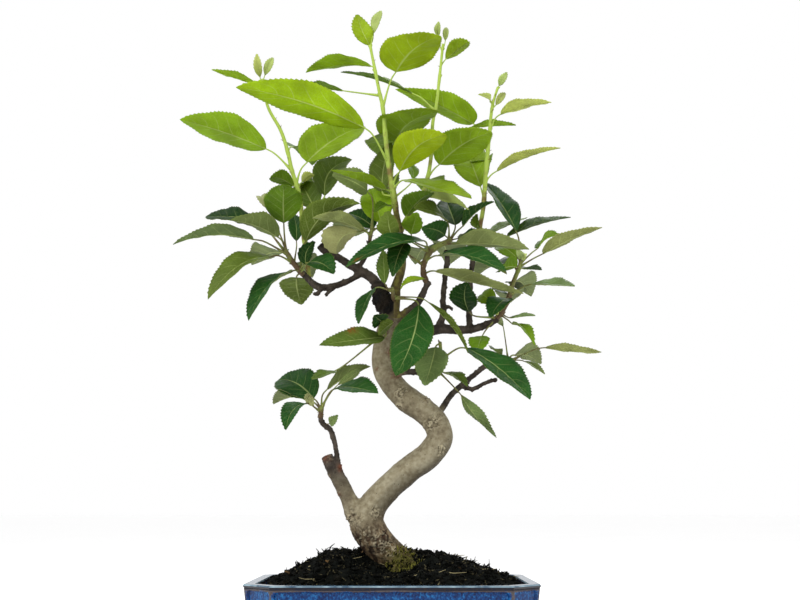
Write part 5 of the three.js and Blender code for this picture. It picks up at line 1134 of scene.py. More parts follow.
@dataclass
class LeafMaker:
    """Builds one leaf after another into a shoot's mesh, and paints each with its own attributes."""

    mesh: BMesh
    young: bool
    thickness: float = 0.5
    tooth: float = 0.5
    tooth_pitch: float = 2.7
    columns: int = 12
    stalk_radius: float = 0.75
    quilt_depth: float = 0.30
    groove_depth: float = 0.45
    keel_height: float = 0.75
    ruffle_share: float = 0.022

    def __post_init__(self) -> None:
        """Add the attributes that the leaf finishes read."""
        points = self.mesh.verts.layers.float
        self.along = points.new("along")
        self.across = points.new("across")
        self.blemish = points.new("blemish")
        self.age = points.new("age")
        self.tone = self.mesh.faces.layers.float_color.new("tone")

    def blade(self, form: Blade, tone: Tone, under_shows: bool, blemishes: Sequence[Blemish],
              chance: random.Random) -> None:
        """Build a blade: two faces with veins pressed into them and a toothed edge.

        Args:
            form: The blade's form.
            tone: The colour of the face that shows.
            under_shows: Whether that is its underside.
            blemishes: Its brown spots.
            chance: The shoot's own random numbers.
        """
        teeth = max(7, min(28, round(form.length / self.tooth_pitch)))
        rows = 2 * teeth
        columns = self.columns if form.half > 6 else 8
        verts = bmesh.ops.create_grid(self.mesh, x_segments=rows, y_segments=columns, size=0.5)["verts"]
        depth = min(0.09, self.tooth / form.half)
        phase = chance.uniform(0, math.tau)
        frames = [form.frame_at(row / rows) for row in range(rows + 1)]
        for vert in verts:
            row = round((vert.co.x + 0.5) * rows)
            wide = 2 * vert.co.y
            along = row / rows
            across = math.copysign(abs(wide) ** 1.25, wide)
            rib, side, top, share = frames[row]
            reach = across
            slide = 0.0
            if abs(wide) > 0.99 and 0.06 < along < 0.97:
                reach *= 1 + (depth if row % 2 else -0.7 * depth)
                slide = form.length / rows * (0.55 if row % 2 else -0.1)
            width = max(form.half * share, 0.45 if along < 0.5 else 0.08)
            out = width * reach
            sway = math.sin(11 * along + 2.5 * (1 if reach > 0 else -1 if reach < 0 else 0))
            rise = abs(out) * math.sin(form.fold) + form.wave * form.half * abs(reach) * sway * share
            ruffle = self.ruffle_share * form.half * reach * reach * share * math.sin(31 * along + phase)
            quilt = self.quilt_depth * bell(vein_gap(along, across), 0.16) * (1 - abs(across)) ** 0.4 * share
            groove = self.groove_depth * bell(reach, 0.07) * share
            place = rib + side * (out * math.cos(form.fold)) + top * (rise + ruffle - quilt - groove)
            vert.co = place + form.axis * (slide + form.shear * out)
            vert[self.along] = along
            vert[self.across] = across
            vert[self.blemish] = max((bell(math.hypot((along - spot.along) * form.length / form.half,
                                                      across - spot.across), spot.reach)
                                      for spot in blemishes), default=0.0)
        self.thicken(form, verts, tone, under_shows, chance)

    def thicken(self, form: Blade, verts: Sequence[BMVert], tone: Tone, under_shows: bool,
                chance: random.Random) -> None:
        """Give a sheet its thickness, the raised rib below, and its colours.

        Args:
            form: The blade's form.
            verts: The sheet's vertices, which become the underside.
            tone: The colour of the face that shows.
            under_shows: Whether that is its underside.
            chance: The shoot's own random numbers.
        """
        sheet = faces_of(verts)
        raised = bmesh.ops.extrude_face_region(self.mesh, geom=sheet, use_keep_orig=True)["geom"]
        lifted = [v for v in raised if isinstance(v, BMVert)]
        for vert in lifted:
            thin = 1 - 0.5 * abs(vert[self.across]) ** 3
            vert.co = vert.co + form.top * (self.thickness * thin)
        for vert in verts:
            keel = self.keel_height * (1 - 0.8 * vert[self.along]) * min(1.0, form.half / 10)
            vert.co = vert.co - form.top * (keel * bell(vert[self.across], 0.04))
        shell = faces_of([*verts, *lifted])
        bmesh.ops.recalc_face_normals(self.mesh, faces=shell)
        # The tone that shows carries painted light and shade along with the leaf's own colour.
        shown = self.vary_tone(linear(*tone.value), chance)
        other = shown
        if not self.young:
            other = blend(shown, DEEP_GREEN, 0.6) if under_shows else blend(shown, PALE_UNDER, 0.5)
        upper, under = (other, shown) if under_shows else (shown, other)
        for face in shell:
            is_upper = face.normal.dot(form.top) > 0
            face.material_index = UPPER if is_upper else UNDER
            face[self.tone] = upper if is_upper else under

    def vary_tone(self, colour: Colour, chance: random.Random) -> Colour:
        """Return a colour moved a little, so that no two leaves are quite alike."""
        bright = chance.uniform(0.86, 1.14)
        warm = chance.uniform(-0.08, 0.08)
        return (colour[0] * bright * (1 + warm), colour[1] * bright, colour[2] * bright * (1 - warm), 1.0)

    def stalk(self, foot: Vector, form: Blade, age: float) -> None:
        """Build a leaf's stalk, thicker where it leaves the stem and ending in the rib."""
        reach = (form.base - foot).length
        back = min(8.0, 0.42 * reach)
        knee = (form.base - form.axis * back).lerp(form.base.lerp(foot, back / max(reach, 0.1)), 0.5)
        course = Course([foot, knee, form.base, form.rib(0.06)])
        thin = self.stalk_radius * min(1.0, 0.6 + form.half / 30)
        verts = add_tube(self.mesh, course,
                         lambda share: thin * (1.0 - 0.45 * share + 0.9 * bell(share, 0.10)), 7, 14)
        self.paint_green(verts, age)

    def paint_green(self, verts: Sequence[BMVert], age: float) -> None:
        """Mark vertices as stem or stalk of an age from 0, green, to 1, brown."""
        for vert in verts:
            vert[self.age] = age
        for face in faces_of(verts):
            face.material_index = STALK

    def bud(self, place: Vector, way: Vector, length: float, age: float, width: float = 0.42) -> None:
        """Build a small pointed bud, or a thin scale where the width is a small share of the length."""
        made = bmesh.ops.create_icosphere(self.mesh, subdivisions=2, radius=1.0)["verts"]
        turn = way.to_track_quat("Z", "Y")
        for vert in made:
            narrow = width * (1 - 0.35 * max(0.0, vert.co.z))
            slim = Vector((vert.co.x * narrow, vert.co.y * narrow, vert.co.z))
            vert.co = place + turn @ slim * (length / 2)
        self.paint_green(made, age)


@dataclass
class ShootPiece:
    """One leafy shoot, in place of its spray in the frame."""

    shoot: Shoot
    finishes: Sequence[Material]
    sides: int = 12
    rings_per_station: int = 7
    young_scales: int = 14
    old_scales: int = 4
    station_gap: float = 12.0

    def build(self) -> Object:
        """Build the shoot's stem, leaves and buds as one piece."""
        shoot = self.shoot
        chance = random.Random(f"shoot {shoot.name}")
        mesh = bmesh.new()
        maker = LeafMaker(mesh, shoot.young)
        course = shoot.stem.course()
        age = 0.25 if shoot.young else 0.75
        feet: list[float] = []
        for leaf in shoot.leaves:
            share = self.nearest(course, leaf.stalk or leaf.base)
            feet.append(share)
            form = Blade.from_view(leaf)
            maker.blade(form, leaf.tone, leaf.roll > 90, BLEMISHES.get((shoot.name, leaf.name), ()), chance)
            maker.stalk(course.at(share), form, age * 0.7)
            way = square_to(form.base - course.at(share), course.heading(share))
            maker.bud(course.at(share) + way * shoot.stem.radius(share) + course.heading(share) * 1.6,
                      (course.heading(share) * 2 + way).normalized(), 3.2, age)
        rear = shoot.rear
        if rear:
            for step in range(rear.count):
                spot = rear.start + (rear.end - rear.start) * (step + 0.5) / rear.count
                feet.append(spot)
                form = Blade.behind(course.at(spot), rear, step)
                tone = Tone.GREEN if shoot.young else Tone.DARK
                maker.blade(form, tone, False, (), chance)
                maker.stalk(course.at(spot), form, age * 0.7)
        self.stem(maker, course, feet, age)
        self.scales(maker, course, chance)
        return finish_piece(f"{shoot.name}_shoot", mesh, self.finishes, [f"spray_{shoot.name}"])

    def scales(self, maker: LeafMaker, course: Course, chance: random.Random) -> None:
        """Set small dark scales along the stem, more of them on a young shoot."""
        scales = self.young_scales if self.shoot.young else self.old_scales
        for count in range(scales):
            share = min(0.08 + 0.86 * (count + chance.random()) / scales, 0.98)
            ahead = course.heading(share)
            turn = Quaternion(ahead, chance.uniform(0, math.tau))
            out = turn @ square_to(Vector((1, 0.2, 0)), ahead)
            foot = course.at(share) + out * (self.shoot.stem.radius(share) + 0.5)
            maker.bud(foot, (out + ahead * 0.5).normalized(), chance.uniform(2.0, 3.6), 1.0, 0.16)

    def nearest(self, course: Course, pixel: Pixel) -> float:
        """Return the share of the stem's length that the view shows nearest to a pixel."""
        def away(share: float) -> float:
            """Return how far the view shows a share of the stem from the pixel."""
            spot = pixel_of(course.at(share))
            return math.hypot(spot[0] - pixel[0], spot[1] - pixel[1])
        return min((0.04 + 0.94 * step / 60 for step in range(61)), key=away)

    def stem(self, maker: LeafMaker, course: Course, feet: Sequence[float], age: float) -> None:
        """Build the stem, a little swollen where each leaf leaves it.

        Args:
            maker: The maker that holds the shoot's mesh.
            course: The line through the stem.
            feet: The shares of its length where leaves leave it.
            age: How brown the stem is at its foot.
        """
        stem = self.shoot.stem
        steps = self.rings_per_station * (len(stem.run) - 1)
        length = self.station_gap * (len(stem.run) - 1)

        def swollen(share: float) -> float:
            """Return the stem's radius with its swellings."""
            swell = max((bell((share - foot) * length, 1.6) for foot in feet), default=0.0)
            return stem.radius(share) * (1 + 0.22 * swell)

        verts = add_tube(maker.mesh, course, swollen, self.sides, steps)
        maker.paint_green(verts, age)
        for vert in verts:
            climb = (vert.co.z - course.at(0).z) / max(1.0, abs(course.at(1).z - course.at(0).z))
            vert[maker.age] = max(0.0, min(1.0, age + 0.5 - 0.9 * climb))


@dataclass
class Wood:
    """The trunk, its roots and its bare limbs, grown together."""

    voxel: float = 0.75
    trunk_sides: int = 40
    limb_sides: int = 20
    root_run: tuple[tuple[float, float, float], ...] = (
        (0.15, 2, 7.5), (0.6, -4, 6.0), (0.85, -10, 4.2), (1, -18, 2.6))
    roots: tuple[tuple[float, float], ...] = ((200, 24), (265, 19), (335, 27), (60, 24))
    foot_top: float = 116.0
    moss_spots: list[tuple[Vector, Vector]] = field(default_factory=list)

    def build(self, bark: Material) -> Object:
        """Grow the limbs into one skin, then give it relief, scars and its paint.

        Args:
            bark: The bark's material.

        Returns:
            The wood.
        """
        mesh = bmesh.new()
        for limb in LIMBS:
            is_trunk = limb.name == "trunk"
            add_tube(mesh, limb.course(), limb.radius, self.trunk_sides if is_trunk else self.limb_sides,
                     10 * (len(limb.run) - 1), self.flutes if is_trunk else None)
            if not is_trunk:
                self.add_knobs(mesh, limb)
        self.add_roots(mesh)
        data = bpy.data.meshes.new("limbs")
        mesh.to_mesh(data)
        mesh.free()
        skinned = self.skin(data)
        mesh = bmesh.new()
        mesh.from_mesh(skinned)
        for _ in range(2):
            bmesh.ops.smooth_vert(mesh, verts=mesh.verts, factor=0.5, use_axis_x=True, use_axis_y=True,
                                  use_axis_z=True)
        self.carve(mesh, self.trunk_line())
        return finish_piece("trunk_wood", mesh, [bark], ["trunk"])

    def flutes(self, share: float, angle: float) -> float:
        """Return the trunk's shallow flutes and swollen knots as a factor on its radius."""
        relief = 1 + 0.035 * math.sin(3 * angle + 9 * share) + 0.02 * math.sin(5 * angle - 14 * share)
        for knot in KNOTS:
            facing = max(0.0, math.cos(angle - knot.way)) ** 3
            relief += knot.swell * bell(share - knot.place, knot.reach) * facing
        return relief

    def add_roots(self, mesh: BMesh) -> None:
        """Add the short roots that dive into the soil."""
        foot = seen((396, 566), 9)
        widths = [radius for _, _, radius in self.root_run]
        for looks, reach in self.roots:
            out = Vector((math.cos(math.radians(looks)), math.sin(math.radians(looks)), 0))
            course = Course([foot + out * (share * reach) + Vector((0, 0, rise))
                             for share, rise, _ in self.root_run])
            add_tube(mesh, course, lambda share: along_run(widths, share), 20, 24)

    def add_knobs(self, mesh: BMesh, limb: Limb) -> None:
        """Set the old leaf nodes and buds along a thin limb."""
        chance = random.Random(f"knobs {limb.name}")
        course = limb.course()
        count = 4 * (len(limb.run) - 1)
        for step in range(count):
            share = (step + chance.random()) / count
            ahead = course.heading(min(share, 0.97))
            out = Quaternion(ahead, chance.uniform(0, math.tau)) @ square_to(Vector((0.3, 1, 0.2)), ahead)
            radius = limb.radius(share)
            size = chance.uniform(0.9, 1.5)
            turn = (out + ahead * chance.uniform(0.2, 1.0)).normalized().to_track_quat("Z", "Y")
            for vert in bmesh.ops.create_icosphere(mesh, subdivisions=2, radius=1.0)["verts"]:
                vert.co = course.at(share) + out * (radius * 0.85) + turn @ Vector(
                    (vert.co.x * size * 0.75, vert.co.y * size * 0.75, vert.co.z * size * 1.25))

    def skin(self, data: Mesh) -> Mesh:
        """Return the limbs' mesh remade as one closed skin."""
        holder = bpy.data.objects.new("limbs", data)
        bpy.context.scene.collection.objects.link(holder)
        remesh = holder.modifiers.new("skin", "REMESH")
        remesh.mode = "VOXEL"
        remesh.voxel_size = self.voxel
        bpy.context.view_layer.update()
        skinned = bpy.data.meshes.new_from_object(holder.evaluated_get(bpy.context.evaluated_depsgraph_get()))
        bpy.data.objects.remove(holder)
        return skinned

    def trunk_line(self) -> list[tuple[Vector, float]]:
        """Return places close together along the trunk's middle, each with its radius."""
        trunk = next(limb for limb in LIMBS if limb.name == "trunk")
        course = trunk.course()
        return [(course.at(step / 240), trunk.radius(step / 240)) for step in range(241)]

    def carve(self, mesh: BMesh, line: Sequence[tuple[Vector, float]]) -> None:
        """Press the bark's relief and scars into the skin and paint its attributes.

        Args:
            mesh: The skin.
            line: Places along the trunk's middle, each with its radius.
        """
        middles = kdtree.KDTree(len(line))
        for number, (middle, _) in enumerate(line):
            middles.insert(middle, number)
        middles.balance()
        layers = {name: mesh.verts.layers.float.new(name)
                  for name in ("branch", "sap", "char", "foot", "moss", "shade", "rim", "cut")}
        bmesh.ops.recalc_face_normals(mesh, faces=mesh.faces)
        mesh.normal_update()
        for vert in mesh.verts:
            place, normal = vert.co.copy(), vert.normal.copy()
            pixel = pixel_of(place)
            _, nearest, away = middles.find(place)
            paint = self.paint_at(place, normal, pixel, away / line[nearest][1])
            lift = self.relief_at(place, paint)
            for scar in SCARS:
                away = spread(pixel, scar.pixel)
                if normal.y < 0.2 and away < 2.5 * scar.reach:
                    ragged = away * (1 + 0.5 * noise.noise(place * 0.3) + 0.25 * noise.noise(place * 0.9))
                    inside = bell(ragged, scar.reach) * min(1.0, 2.4 - away / scar.reach)
                    folds = noise.noise(place * 0.42 + Vector((0, 0, scar.reach)))
                    crease = bell(folds, 0.09) * inside
                    ridge = bell(folds - 0.24, 0.13) * inside
                    lift += scar.swell * (0.5 * inside + 0.7 * ridge - 1.4 * crease)
                    paint["rim"] = max(paint["rim"], ridge * (1 - scar.cut))
                    paint["cut"] = max(paint["cut"], scar.cut * bell(ragged, 0.8 * scar.reach))
                    paint["shade"] = max(paint["shade"], min(1.0, 1.2 * crease))
            vert.co = place + normal * lift
            for name, value in paint.items():
                vert[layers[name]] = min(1.0, max(0.0, value))
            if paint["moss"] > 0.45 and normal.z > -0.3:
                self.moss_spots.append((vert.co.copy(), normal))

    def paint_at(self, place: Vector, normal: Vector, pixel: Pixel, apart: float) -> dict[str, float]:
        """Return the painted attributes of a place on the skin.

        Args:
            place: The place.
            normal: The way the skin faces.
            pixel: Where the view shows it.
            apart: Its distance from the trunk's middle, as a share of the trunk's radius there.

        Returns:
            A value from 0 to 1 for each attribute.
        """
        patchy = noise.noise(place * 0.08)
        branch = min(1.0, max(0.0, (apart - 1.3) / 0.7))
        if pixel[0] < 365 and pixel[1] > 455:
            branch *= 0.35 + 0.65 * min(1.0, max(0.0, (492 - pixel[1]) / 24))
        on_leader = bell(pixel[0] - LEADER_ACROSS, 7.0) if 200 < pixel[1] < 318 else 0.0
        on_burr = bell(spread(pixel, BURR_PIXEL), 11.0) if pixel[0] < 394 else 0.0
        return {
            "branch": branch,
            "sap": min(1.0, 1.4 * on_leader),
            "char": min(1.0, 2.4 * on_burr),
            "foot": min(1.0, max(0.0, (self.foot_top - place.z) / 18 + 0.5 * patchy)),
            "moss": bell(spread(pixel, FOOT_PIXEL), 11.0) * 1.3 if normal.y < 0.5 else 0.0,
            "shade": max(0.0, -0.85 * normal.z + 0.3 * normal.x),
            "rim": 0.0,
            "cut": 0.0,
        }

    def relief_at(self, place: Vector, paint: dict[str, float]) -> float:
        """Return how far the bark stands out at a place, in millimetres."""
        rough = 0.35 * noise.noise(place * 0.09) + 0.16 * noise.noise(place * 0.4)
        flaky = 0.5 * abs(noise.noise(place * 0.5)) + 0.22 * noise.noise(place * 1.4)
        charred = 1.5 * noise.noise(place * 0.35) + 0.9 * noise.noise(place * 0.9)
        mossy = 0.7 * abs(noise.noise(place * 0.8))
        return (rough + flaky * paint["branch"] * (1 - 0.7 * paint["sap"]) + charred * paint["char"]
                + mossy * paint["moss"] + 0.35 * noise.noise(place * 0.6) * paint["foot"])


def soil_height(x: float, y: float) -> float:
    """Return the height of the soil's mound at a place, as the part's source shapes it."""
    away = y - 16
    out = math.hypot(x / 92, away / (78 if away < 0 else 50))
    mound = 27 * max(0.0, 1 - out ** 2.2)
    hollow = 14 * bell(x, 26) * bell(y + 14, 22)
    heap = 10 * bell(x + 54, 18) * max(0.0, 1 - out)
    lumps = 1.6 * math.sin(x * 0.31 + 1.3 * math.sin(y * 0.23)) * math.sin(y * 0.37 + x * 0.11)
    return 65 + mound - hollow + heap + lumps * max(0.0, min(1.0, 1.4 - out))


@dataclass
class Soil:
    """The mound of dark soil, with the crumbs, fibres, chips and moss that lie on it."""

    half_length: float = 90.4
    half_depth: float = 65.8
    corner: float = 15.0
    floor: float = 16.5
    rows: int = 150
    columns: int = 110
    crumbs: int = 2000
    fibres: int = 1500
    pale_every: int = 24
    chips: int = 16
    tufts: int = 340
    moss_pixel: Pixel = (406, 568)

    def build(self, finishes: dict[str, Material],
              moss_spots: Sequence[tuple[Vector, Vector]]) -> None:
        """Build the mound and all that lies on it.

        Args:
            finishes: The materials by name.
            moss_spots: Places on the trunk's foot where moss grows, each with the way the bark faces.
        """
        self.mound(finishes["soil"])
        self.scatter_crumbs(finishes["crumb"])
        self.scatter_fibres(finishes["fibre"])
        self.scatter_chips(finishes["chip"])
        self.grow_moss(finishes["moss"], moss_spots)

    def rim(self, x: float, y: float) -> Vector:
        """Return a place of the unit square moved onto the eight-cornered plan."""
        place = Vector((x * self.half_length, y * self.half_depth, 0))
        full = self.half_length + self.half_depth - self.corner
        reach = max(abs(x), abs(y))
        if abs(place.x) + abs(place.y) > full:
            edge = (abs(x) * self.half_length + abs(y) * self.half_depth) / reach
            place *= full / max(full, edge)
        return place

    def surface(self, x: float, y: float) -> float:
        """Return the crumbled surface's height at a place."""
        spot = Vector((x, y, 0))
        crumble = 2.6 * noise.noise(spot * 0.13) + 1.8 * abs(noise.noise(spot * 0.35))
        crumble += 0.7 * noise.noise(spot * 1.1)
        ends = min(1.0, max(0.0, (abs(x) / self.half_length - 0.72) / 0.22))
        return soil_height(x, y) + crumble - 2.2 + 3.6 * ends

    def mound(self, material: Material) -> None:
        """Build the mound as one closed body that fills the pot."""
        mesh = bmesh.new()
        hue = mesh.verts.layers.float.new("hue")
        verts = bmesh.ops.create_grid(mesh, x_segments=self.rows, y_segments=self.columns, size=1.0)["verts"]
        for vert in verts:
            place = self.rim(vert.co.x, vert.co.y)
            edge = max(abs(vert.co.x), abs(vert.co.y))
            height = self.surface(place.x, place.y) if edge < 0.999 else soil_height(place.x, place.y) - 1.0
            vert[hue] = 0.5 + 0.5 * noise.noise(place * 0.12)
            vert.co = Vector((place.x, place.y, height))
        border = [e for e in mesh.edges if e.is_boundary]
        skirt = bmesh.ops.extrude_edge_only(mesh, edges=border)["geom"]
        for vert in (v for v in skirt if isinstance(v, BMVert)):
            vert.co = Vector((vert.co.x * 0.945, vert.co.y * 0.945, self.floor))
        bmesh.ops.holes_fill(mesh, edges=[e for e in mesh.edges if e.is_boundary], sides=0)
        finish_piece("soil_mound", mesh, [material], ["soil"])

    def spot(self, chance: random.Random, spread: float = 0.97) -> Vector:
        """Return a random place on the mound's surface."""
        place = self.rim(chance.uniform(-spread, spread), chance.uniform(-spread, spread))
        return Vector((place.x, place.y, self.surface(place.x, place.y)))

    def begin(self, kind: str) -> tuple[random.Random, BMesh, BMLayerItem]:
        """Return the random numbers, the mesh and its hue attribute for one kind of bit."""
        mesh = bmesh.new()
        return random.Random(kind), mesh, mesh.verts.layers.float.new("hue")

    def scatter_crumbs(self, material: Material) -> None:
        """Scatter crumbs of soil, each a small uneven lump."""
        chance, mesh, hue = self.begin("crumbs")
        for _ in range(self.crumbs):
            place = self.spot(chance)
            size = chance.uniform(0.7, 1.5) * (2.1 if chance.random() < 0.22 else 1.0)
            tint = chance.uniform(0.0, 0.8) ** 2
            turn = Matrix.Rotation(chance.uniform(0, math.tau), 3, "Z")
            turn = turn @ Matrix.Rotation(chance.uniform(0, 3), 3, "X")
            stretch = Vector((chance.uniform(0.7, 1.5), chance.uniform(0.6, 1.0), chance.uniform(0.5, 0.9)))
            for vert in bmesh.ops.create_icosphere(mesh, subdivisions=1, radius=size)["verts"]:
                lump = vert.co * chance.uniform(0.75, 1.25)
                vert.co = place + turn @ Vector(a * b for a, b in zip(lump, stretch))
                vert[hue] = tint
        finish_piece("soil_crumbs", mesh, [material], smooth=False)

    def scatter_fibres(self, material: Material) -> None:
        """Scatter fibres and twiglets that lie on the soil or stick out of it."""
        chance, mesh, hue = self.begin("fibres")
        for count in range(self.fibres):
            place = self.spot(chance, 0.93)
            pale = count % self.pale_every == 0
            length = chance.uniform(2.5, 7) if not pale else chance.uniform(6, 15)
            turn = chance.uniform(0, math.tau)
            tilt = abs(chance.gauss(0.1, 0.4)) if not pale else abs(chance.gauss(0.06, 0.1))
            way = Vector((math.cos(turn) * math.cos(tilt), math.sin(turn) * math.cos(tilt), math.sin(tilt)))
            bow = Vector((chance.uniform(-1, 1), chance.uniform(-1, 1), chance.uniform(-0.6, 0.2)))
            bow *= length * 0.2
            thick = chance.uniform(0.35, 0.8) * (0.6 if pale else 1.0)
            course = Course([place - way * 1.0, place + way * (length / 2) + bow, place + way * length])
            verts = add_tube(mesh, course, lambda share: thick * (1.1 - 0.75 * share), 4, 4)
            tint = chance.uniform(-0.3, 0.2) if not pale else chance.uniform(0.7, 1.5)
            for vert in verts:
                vert[hue] = tint
        finish_piece("soil_fibres", mesh, [material])

    def scatter_chips(self, material: Material) -> None:
        """Lay flat chips of golden-brown bark on the soil."""
        chance, mesh, hue = self.begin("chips")
        for _ in range(self.chips):
            place = self.spot(chance, 0.9) + Vector((0, 0, 0.6))
            tint = chance.uniform(0.0, 1.0)
            size = Vector((chance.uniform(1.6, 3.8), chance.uniform(0.9, 1.8), chance.uniform(0.3, 0.6)))
            turn = (Matrix.Rotation(chance.uniform(0, math.tau), 3, "Z")
                    @ Matrix.Rotation(chance.gauss(0, 0.45), 3, "X")
                    @ Matrix.Rotation(chance.gauss(0, 0.35), 3, "Y"))
            made = bmesh.ops.create_cube(mesh, size=2.0)["verts"]
            for vert in made:
                rough = Vector(side * half * chance.uniform(0.65, 1.1) for side, half in zip(vert.co, size))
                vert.co = place + turn @ rough
                vert[hue] = tint
            edges = list({edge for vert in made for edge in vert.link_edges})
            bmesh.ops.bevel(mesh, geom=edges, offset=0.14, offset_type="OFFSET", segments=1, profile=0.5,
                            affect="EDGES", material=-1, clamp_overlap=True)
        finish_piece("bark_chips", mesh, [material], smooth=False)

    def grow_moss(self, material: Material, spots: Sequence[tuple[Vector, Vector]]) -> None:
        """Grow moss on the trunk's foot and on the soil against it.

        Args:
            material: The moss's material.
            spots: Places on the trunk's foot, each with the way the bark faces.
        """
        chance, mesh, hue = self.begin("moss")
        middle = seen(self.moss_pixel, -6)
        for count in range(self.tufts):
            if count % 2 and spots:
                place, facing = spots[chance.randrange(len(spots))]
                way = facing + Vector((0, 0, 0.5))
            else:
                x, y = middle.x + chance.gauss(0, 4.5), middle.y + chance.gauss(0, 3.0)
                place, way = Vector((x, y, self.surface(x, y) - 0.4)), Vector((0, 0, 1))
            stray = Vector((chance.gauss(0, 0.5), chance.gauss(0, 0.4), chance.gauss(0, 0.4)))
            way = (way + stray).normalized()
            length = chance.uniform(1.6, 4.2)
            thick = chance.uniform(0.35, 0.75)
            course = Course([place - way * 0.4, place + way * (length * 0.6), place + way * length])
            tint = chance.uniform(0, 1)
            for vert in add_tube(mesh, course, lambda share: thick * (1.1 - share), 5, 3):
                vert[hue] = tint
        finish_piece("moss_patch", mesh, [material])


def is_level(edge: BMEdge) -> bool:
    """Return whether an edge of a wall runs level."""
    return abs(edge.verts[0].co.z - edge.verts[1].co.z) < 1


@dataclass
class Pot:
    """The glazed pot: eight walls with sunk panels, a lipped rim, four feet and two drain holes."""

    length: float = 200.0
    depth: float = 150.0
    height: float = 70.0
    corner_cut: float = 20.0
    wall: float = 7.0
    taper: float = 0.93
    lip_height: float = 2.6
    lip_reach: float = 0.8
    crown_height: float = 1.2
    foot_height: float = 8.0
    foot_size: tuple[float, float] = (38.0, 30.0)
    foot_setback: float = 4.0
    foot_taper: float = 0.86
    floor_thickness: float = 8.0
    panel_depth: float = 1.4
    panel_margins: tuple[float, float] = (2.4, 2.2)
    panel_corners: tuple[float, float] = (4.0, 3.5)
    drain_radius: float = 8.0
    drain_offset: float = 42.0
    edge_round: float = 0.5
    long_wall: float = 60.0

    def outline(self, inset: float, scale: float = 1.0) -> list[Vector]:
        """Return the eight corners of the plan, a distance inside its widest edge."""
        x = self.length / 2 - inset
        y = self.depth / 2 - inset
        cut = self.corner_cut - inset * (2 - math.sqrt(2))
        plan = ((x - cut, -y), (x, -y + cut), (x, y - cut), (x - cut, y),
                (-x + cut, y), (-x, y - cut), (-x, -y + cut), (-x + cut, -y))
        return [Vector((across * scale, deep * scale, 0)) for across, deep in plan]

    def set_ring(self, verts: Sequence[BMVert], inset: float, scale: float, height: float) -> None:
        """Move eight vertices, each to the nearest corner of an outline at a height."""
        corners = self.outline(inset, scale)
        for vert in verts:
            flat = Vector((vert.co.x, vert.co.y, 0))
            corner = min(corners, key=lambda spot: (spot - flat).length)
            vert.co = Vector((corner.x, corner.y, height))

    def raise_face(self, mesh: BMesh, face: BMFace, inset: float, scale: float,
                   height: float) -> BMFace:
        """Extrude a face to a new outline and height.

        Args:
            mesh: The pot's mesh.
            face: The face to carry on from.
            inset: The new outline's distance inside the widest edge.
            scale: The new outline's scale.
            height: The new outline's height.

        Returns:
            The moved face.
        """
        made = bmesh.ops.extrude_discrete_faces(mesh, faces=[face])["faces"][0]
        self.set_ring(made.verts, inset, scale, height)
        return made

    def build(self, glaze: Material) -> Object:
        """Build the pot.

        Args:
            glaze: The glaze's material.

        Returns:
            The pot.
        """
        mesh = bmesh.new()
        low, high = self.foot_height, self.height - self.lip_height
        base = mesh.faces.new([mesh.verts.new(spot + Vector((0, 0, low)))
                               for spot in self.outline(self.lip_reach, self.taper)])
        under = bmesh.ops.extrude_face_region(mesh, geom=[base], use_keep_orig=True)["geom"]
        top = next(part for part in under if isinstance(part, BMFace) and len(part.verts) == 8)
        self.set_ring(top.verts, self.lip_reach, 1.0, high)
        walls = [face for face in mesh.faces if len(face.verts) == 4]
        top = self.raise_face(mesh, top, 0.0, 0.99, high)
        top = self.raise_face(mesh, top, 0.0, 1.0, self.height - self.crown_height)
        top = self.raise_face(mesh, top, 0.0, 0.992, self.height)
        inner = self.wall + self.lip_reach
        top = self.raise_face(mesh, top, inner, 1.0, self.height)
        self.raise_face(mesh, top, inner, self.taper, self.foot_height + self.floor_thickness)
        bmesh.ops.recalc_face_normals(mesh, faces=mesh.faces)
        self.sink_panels(mesh, walls)
        data = bpy.data.meshes.new("shell")
        mesh.to_mesh(data)
        mesh.free()
        drained = self.drill(data)
        mesh = bmesh.new()
        mesh.from_mesh(drained)
        self.add_feet(mesh)
        self.round_edges(mesh)
        self.paint(mesh)
        piece = finish_piece("glazed_pot", mesh, [glaze], ["pot"])
        weighted = piece.modifiers.new("even_shade", "WEIGHTED_NORMAL")
        weighted.keep_sharp = True
        return piece

    def sink_panels(self, mesh: BMesh, walls: Sequence[BMFace]) -> None:
        """Sink a panel with round corners into each wall."""
        above = self.panel_margins[0] / 2
        for wall in walls:
            short = int(max(edge.calc_length() for edge in wall.edges if is_level(edge)) <= self.long_wall)
            margin, corner = self.panel_margins[short], self.panel_corners[short]
            bmesh.ops.inset_individual(mesh, faces=[wall], thickness=above, depth=0.0, use_even_offset=True)
            middle = wall.calc_center_median()
            along = next(edge.verts[1].co - edge.verts[0].co for edge in wall.edges
                         if is_level(edge)).normalized()
            for vert in wall.verts:
                side = 1 if (vert.co - middle).dot(along) > 0 else -1
                vert.co = vert.co - along * (side * (margin - above))
            self.round_panel(mesh, wall, corner)

    def round_panel(self, mesh: BMesh, panel: BMFace, corner: float) -> None:
        """Round a panel's corners and press it into its wall."""
        middle = panel.calc_center_median()
        normal = panel.normal.copy()
        bmesh.ops.bevel(mesh, geom=list(panel.verts), offset=corner, offset_type="OFFSET", segments=6,
                        profile=0.5, affect="VERTICES", material=-1)
        flat = [face for face in mesh.faces if face.normal.dot(normal) > 0.999 and len(face.verts) > 8]
        panel = min(flat, key=lambda face: (face.calc_center_median() - middle).length)
        bmesh.ops.inset_individual(mesh, faces=[panel], thickness=0.9, depth=-self.panel_depth,
                                   use_even_offset=True)

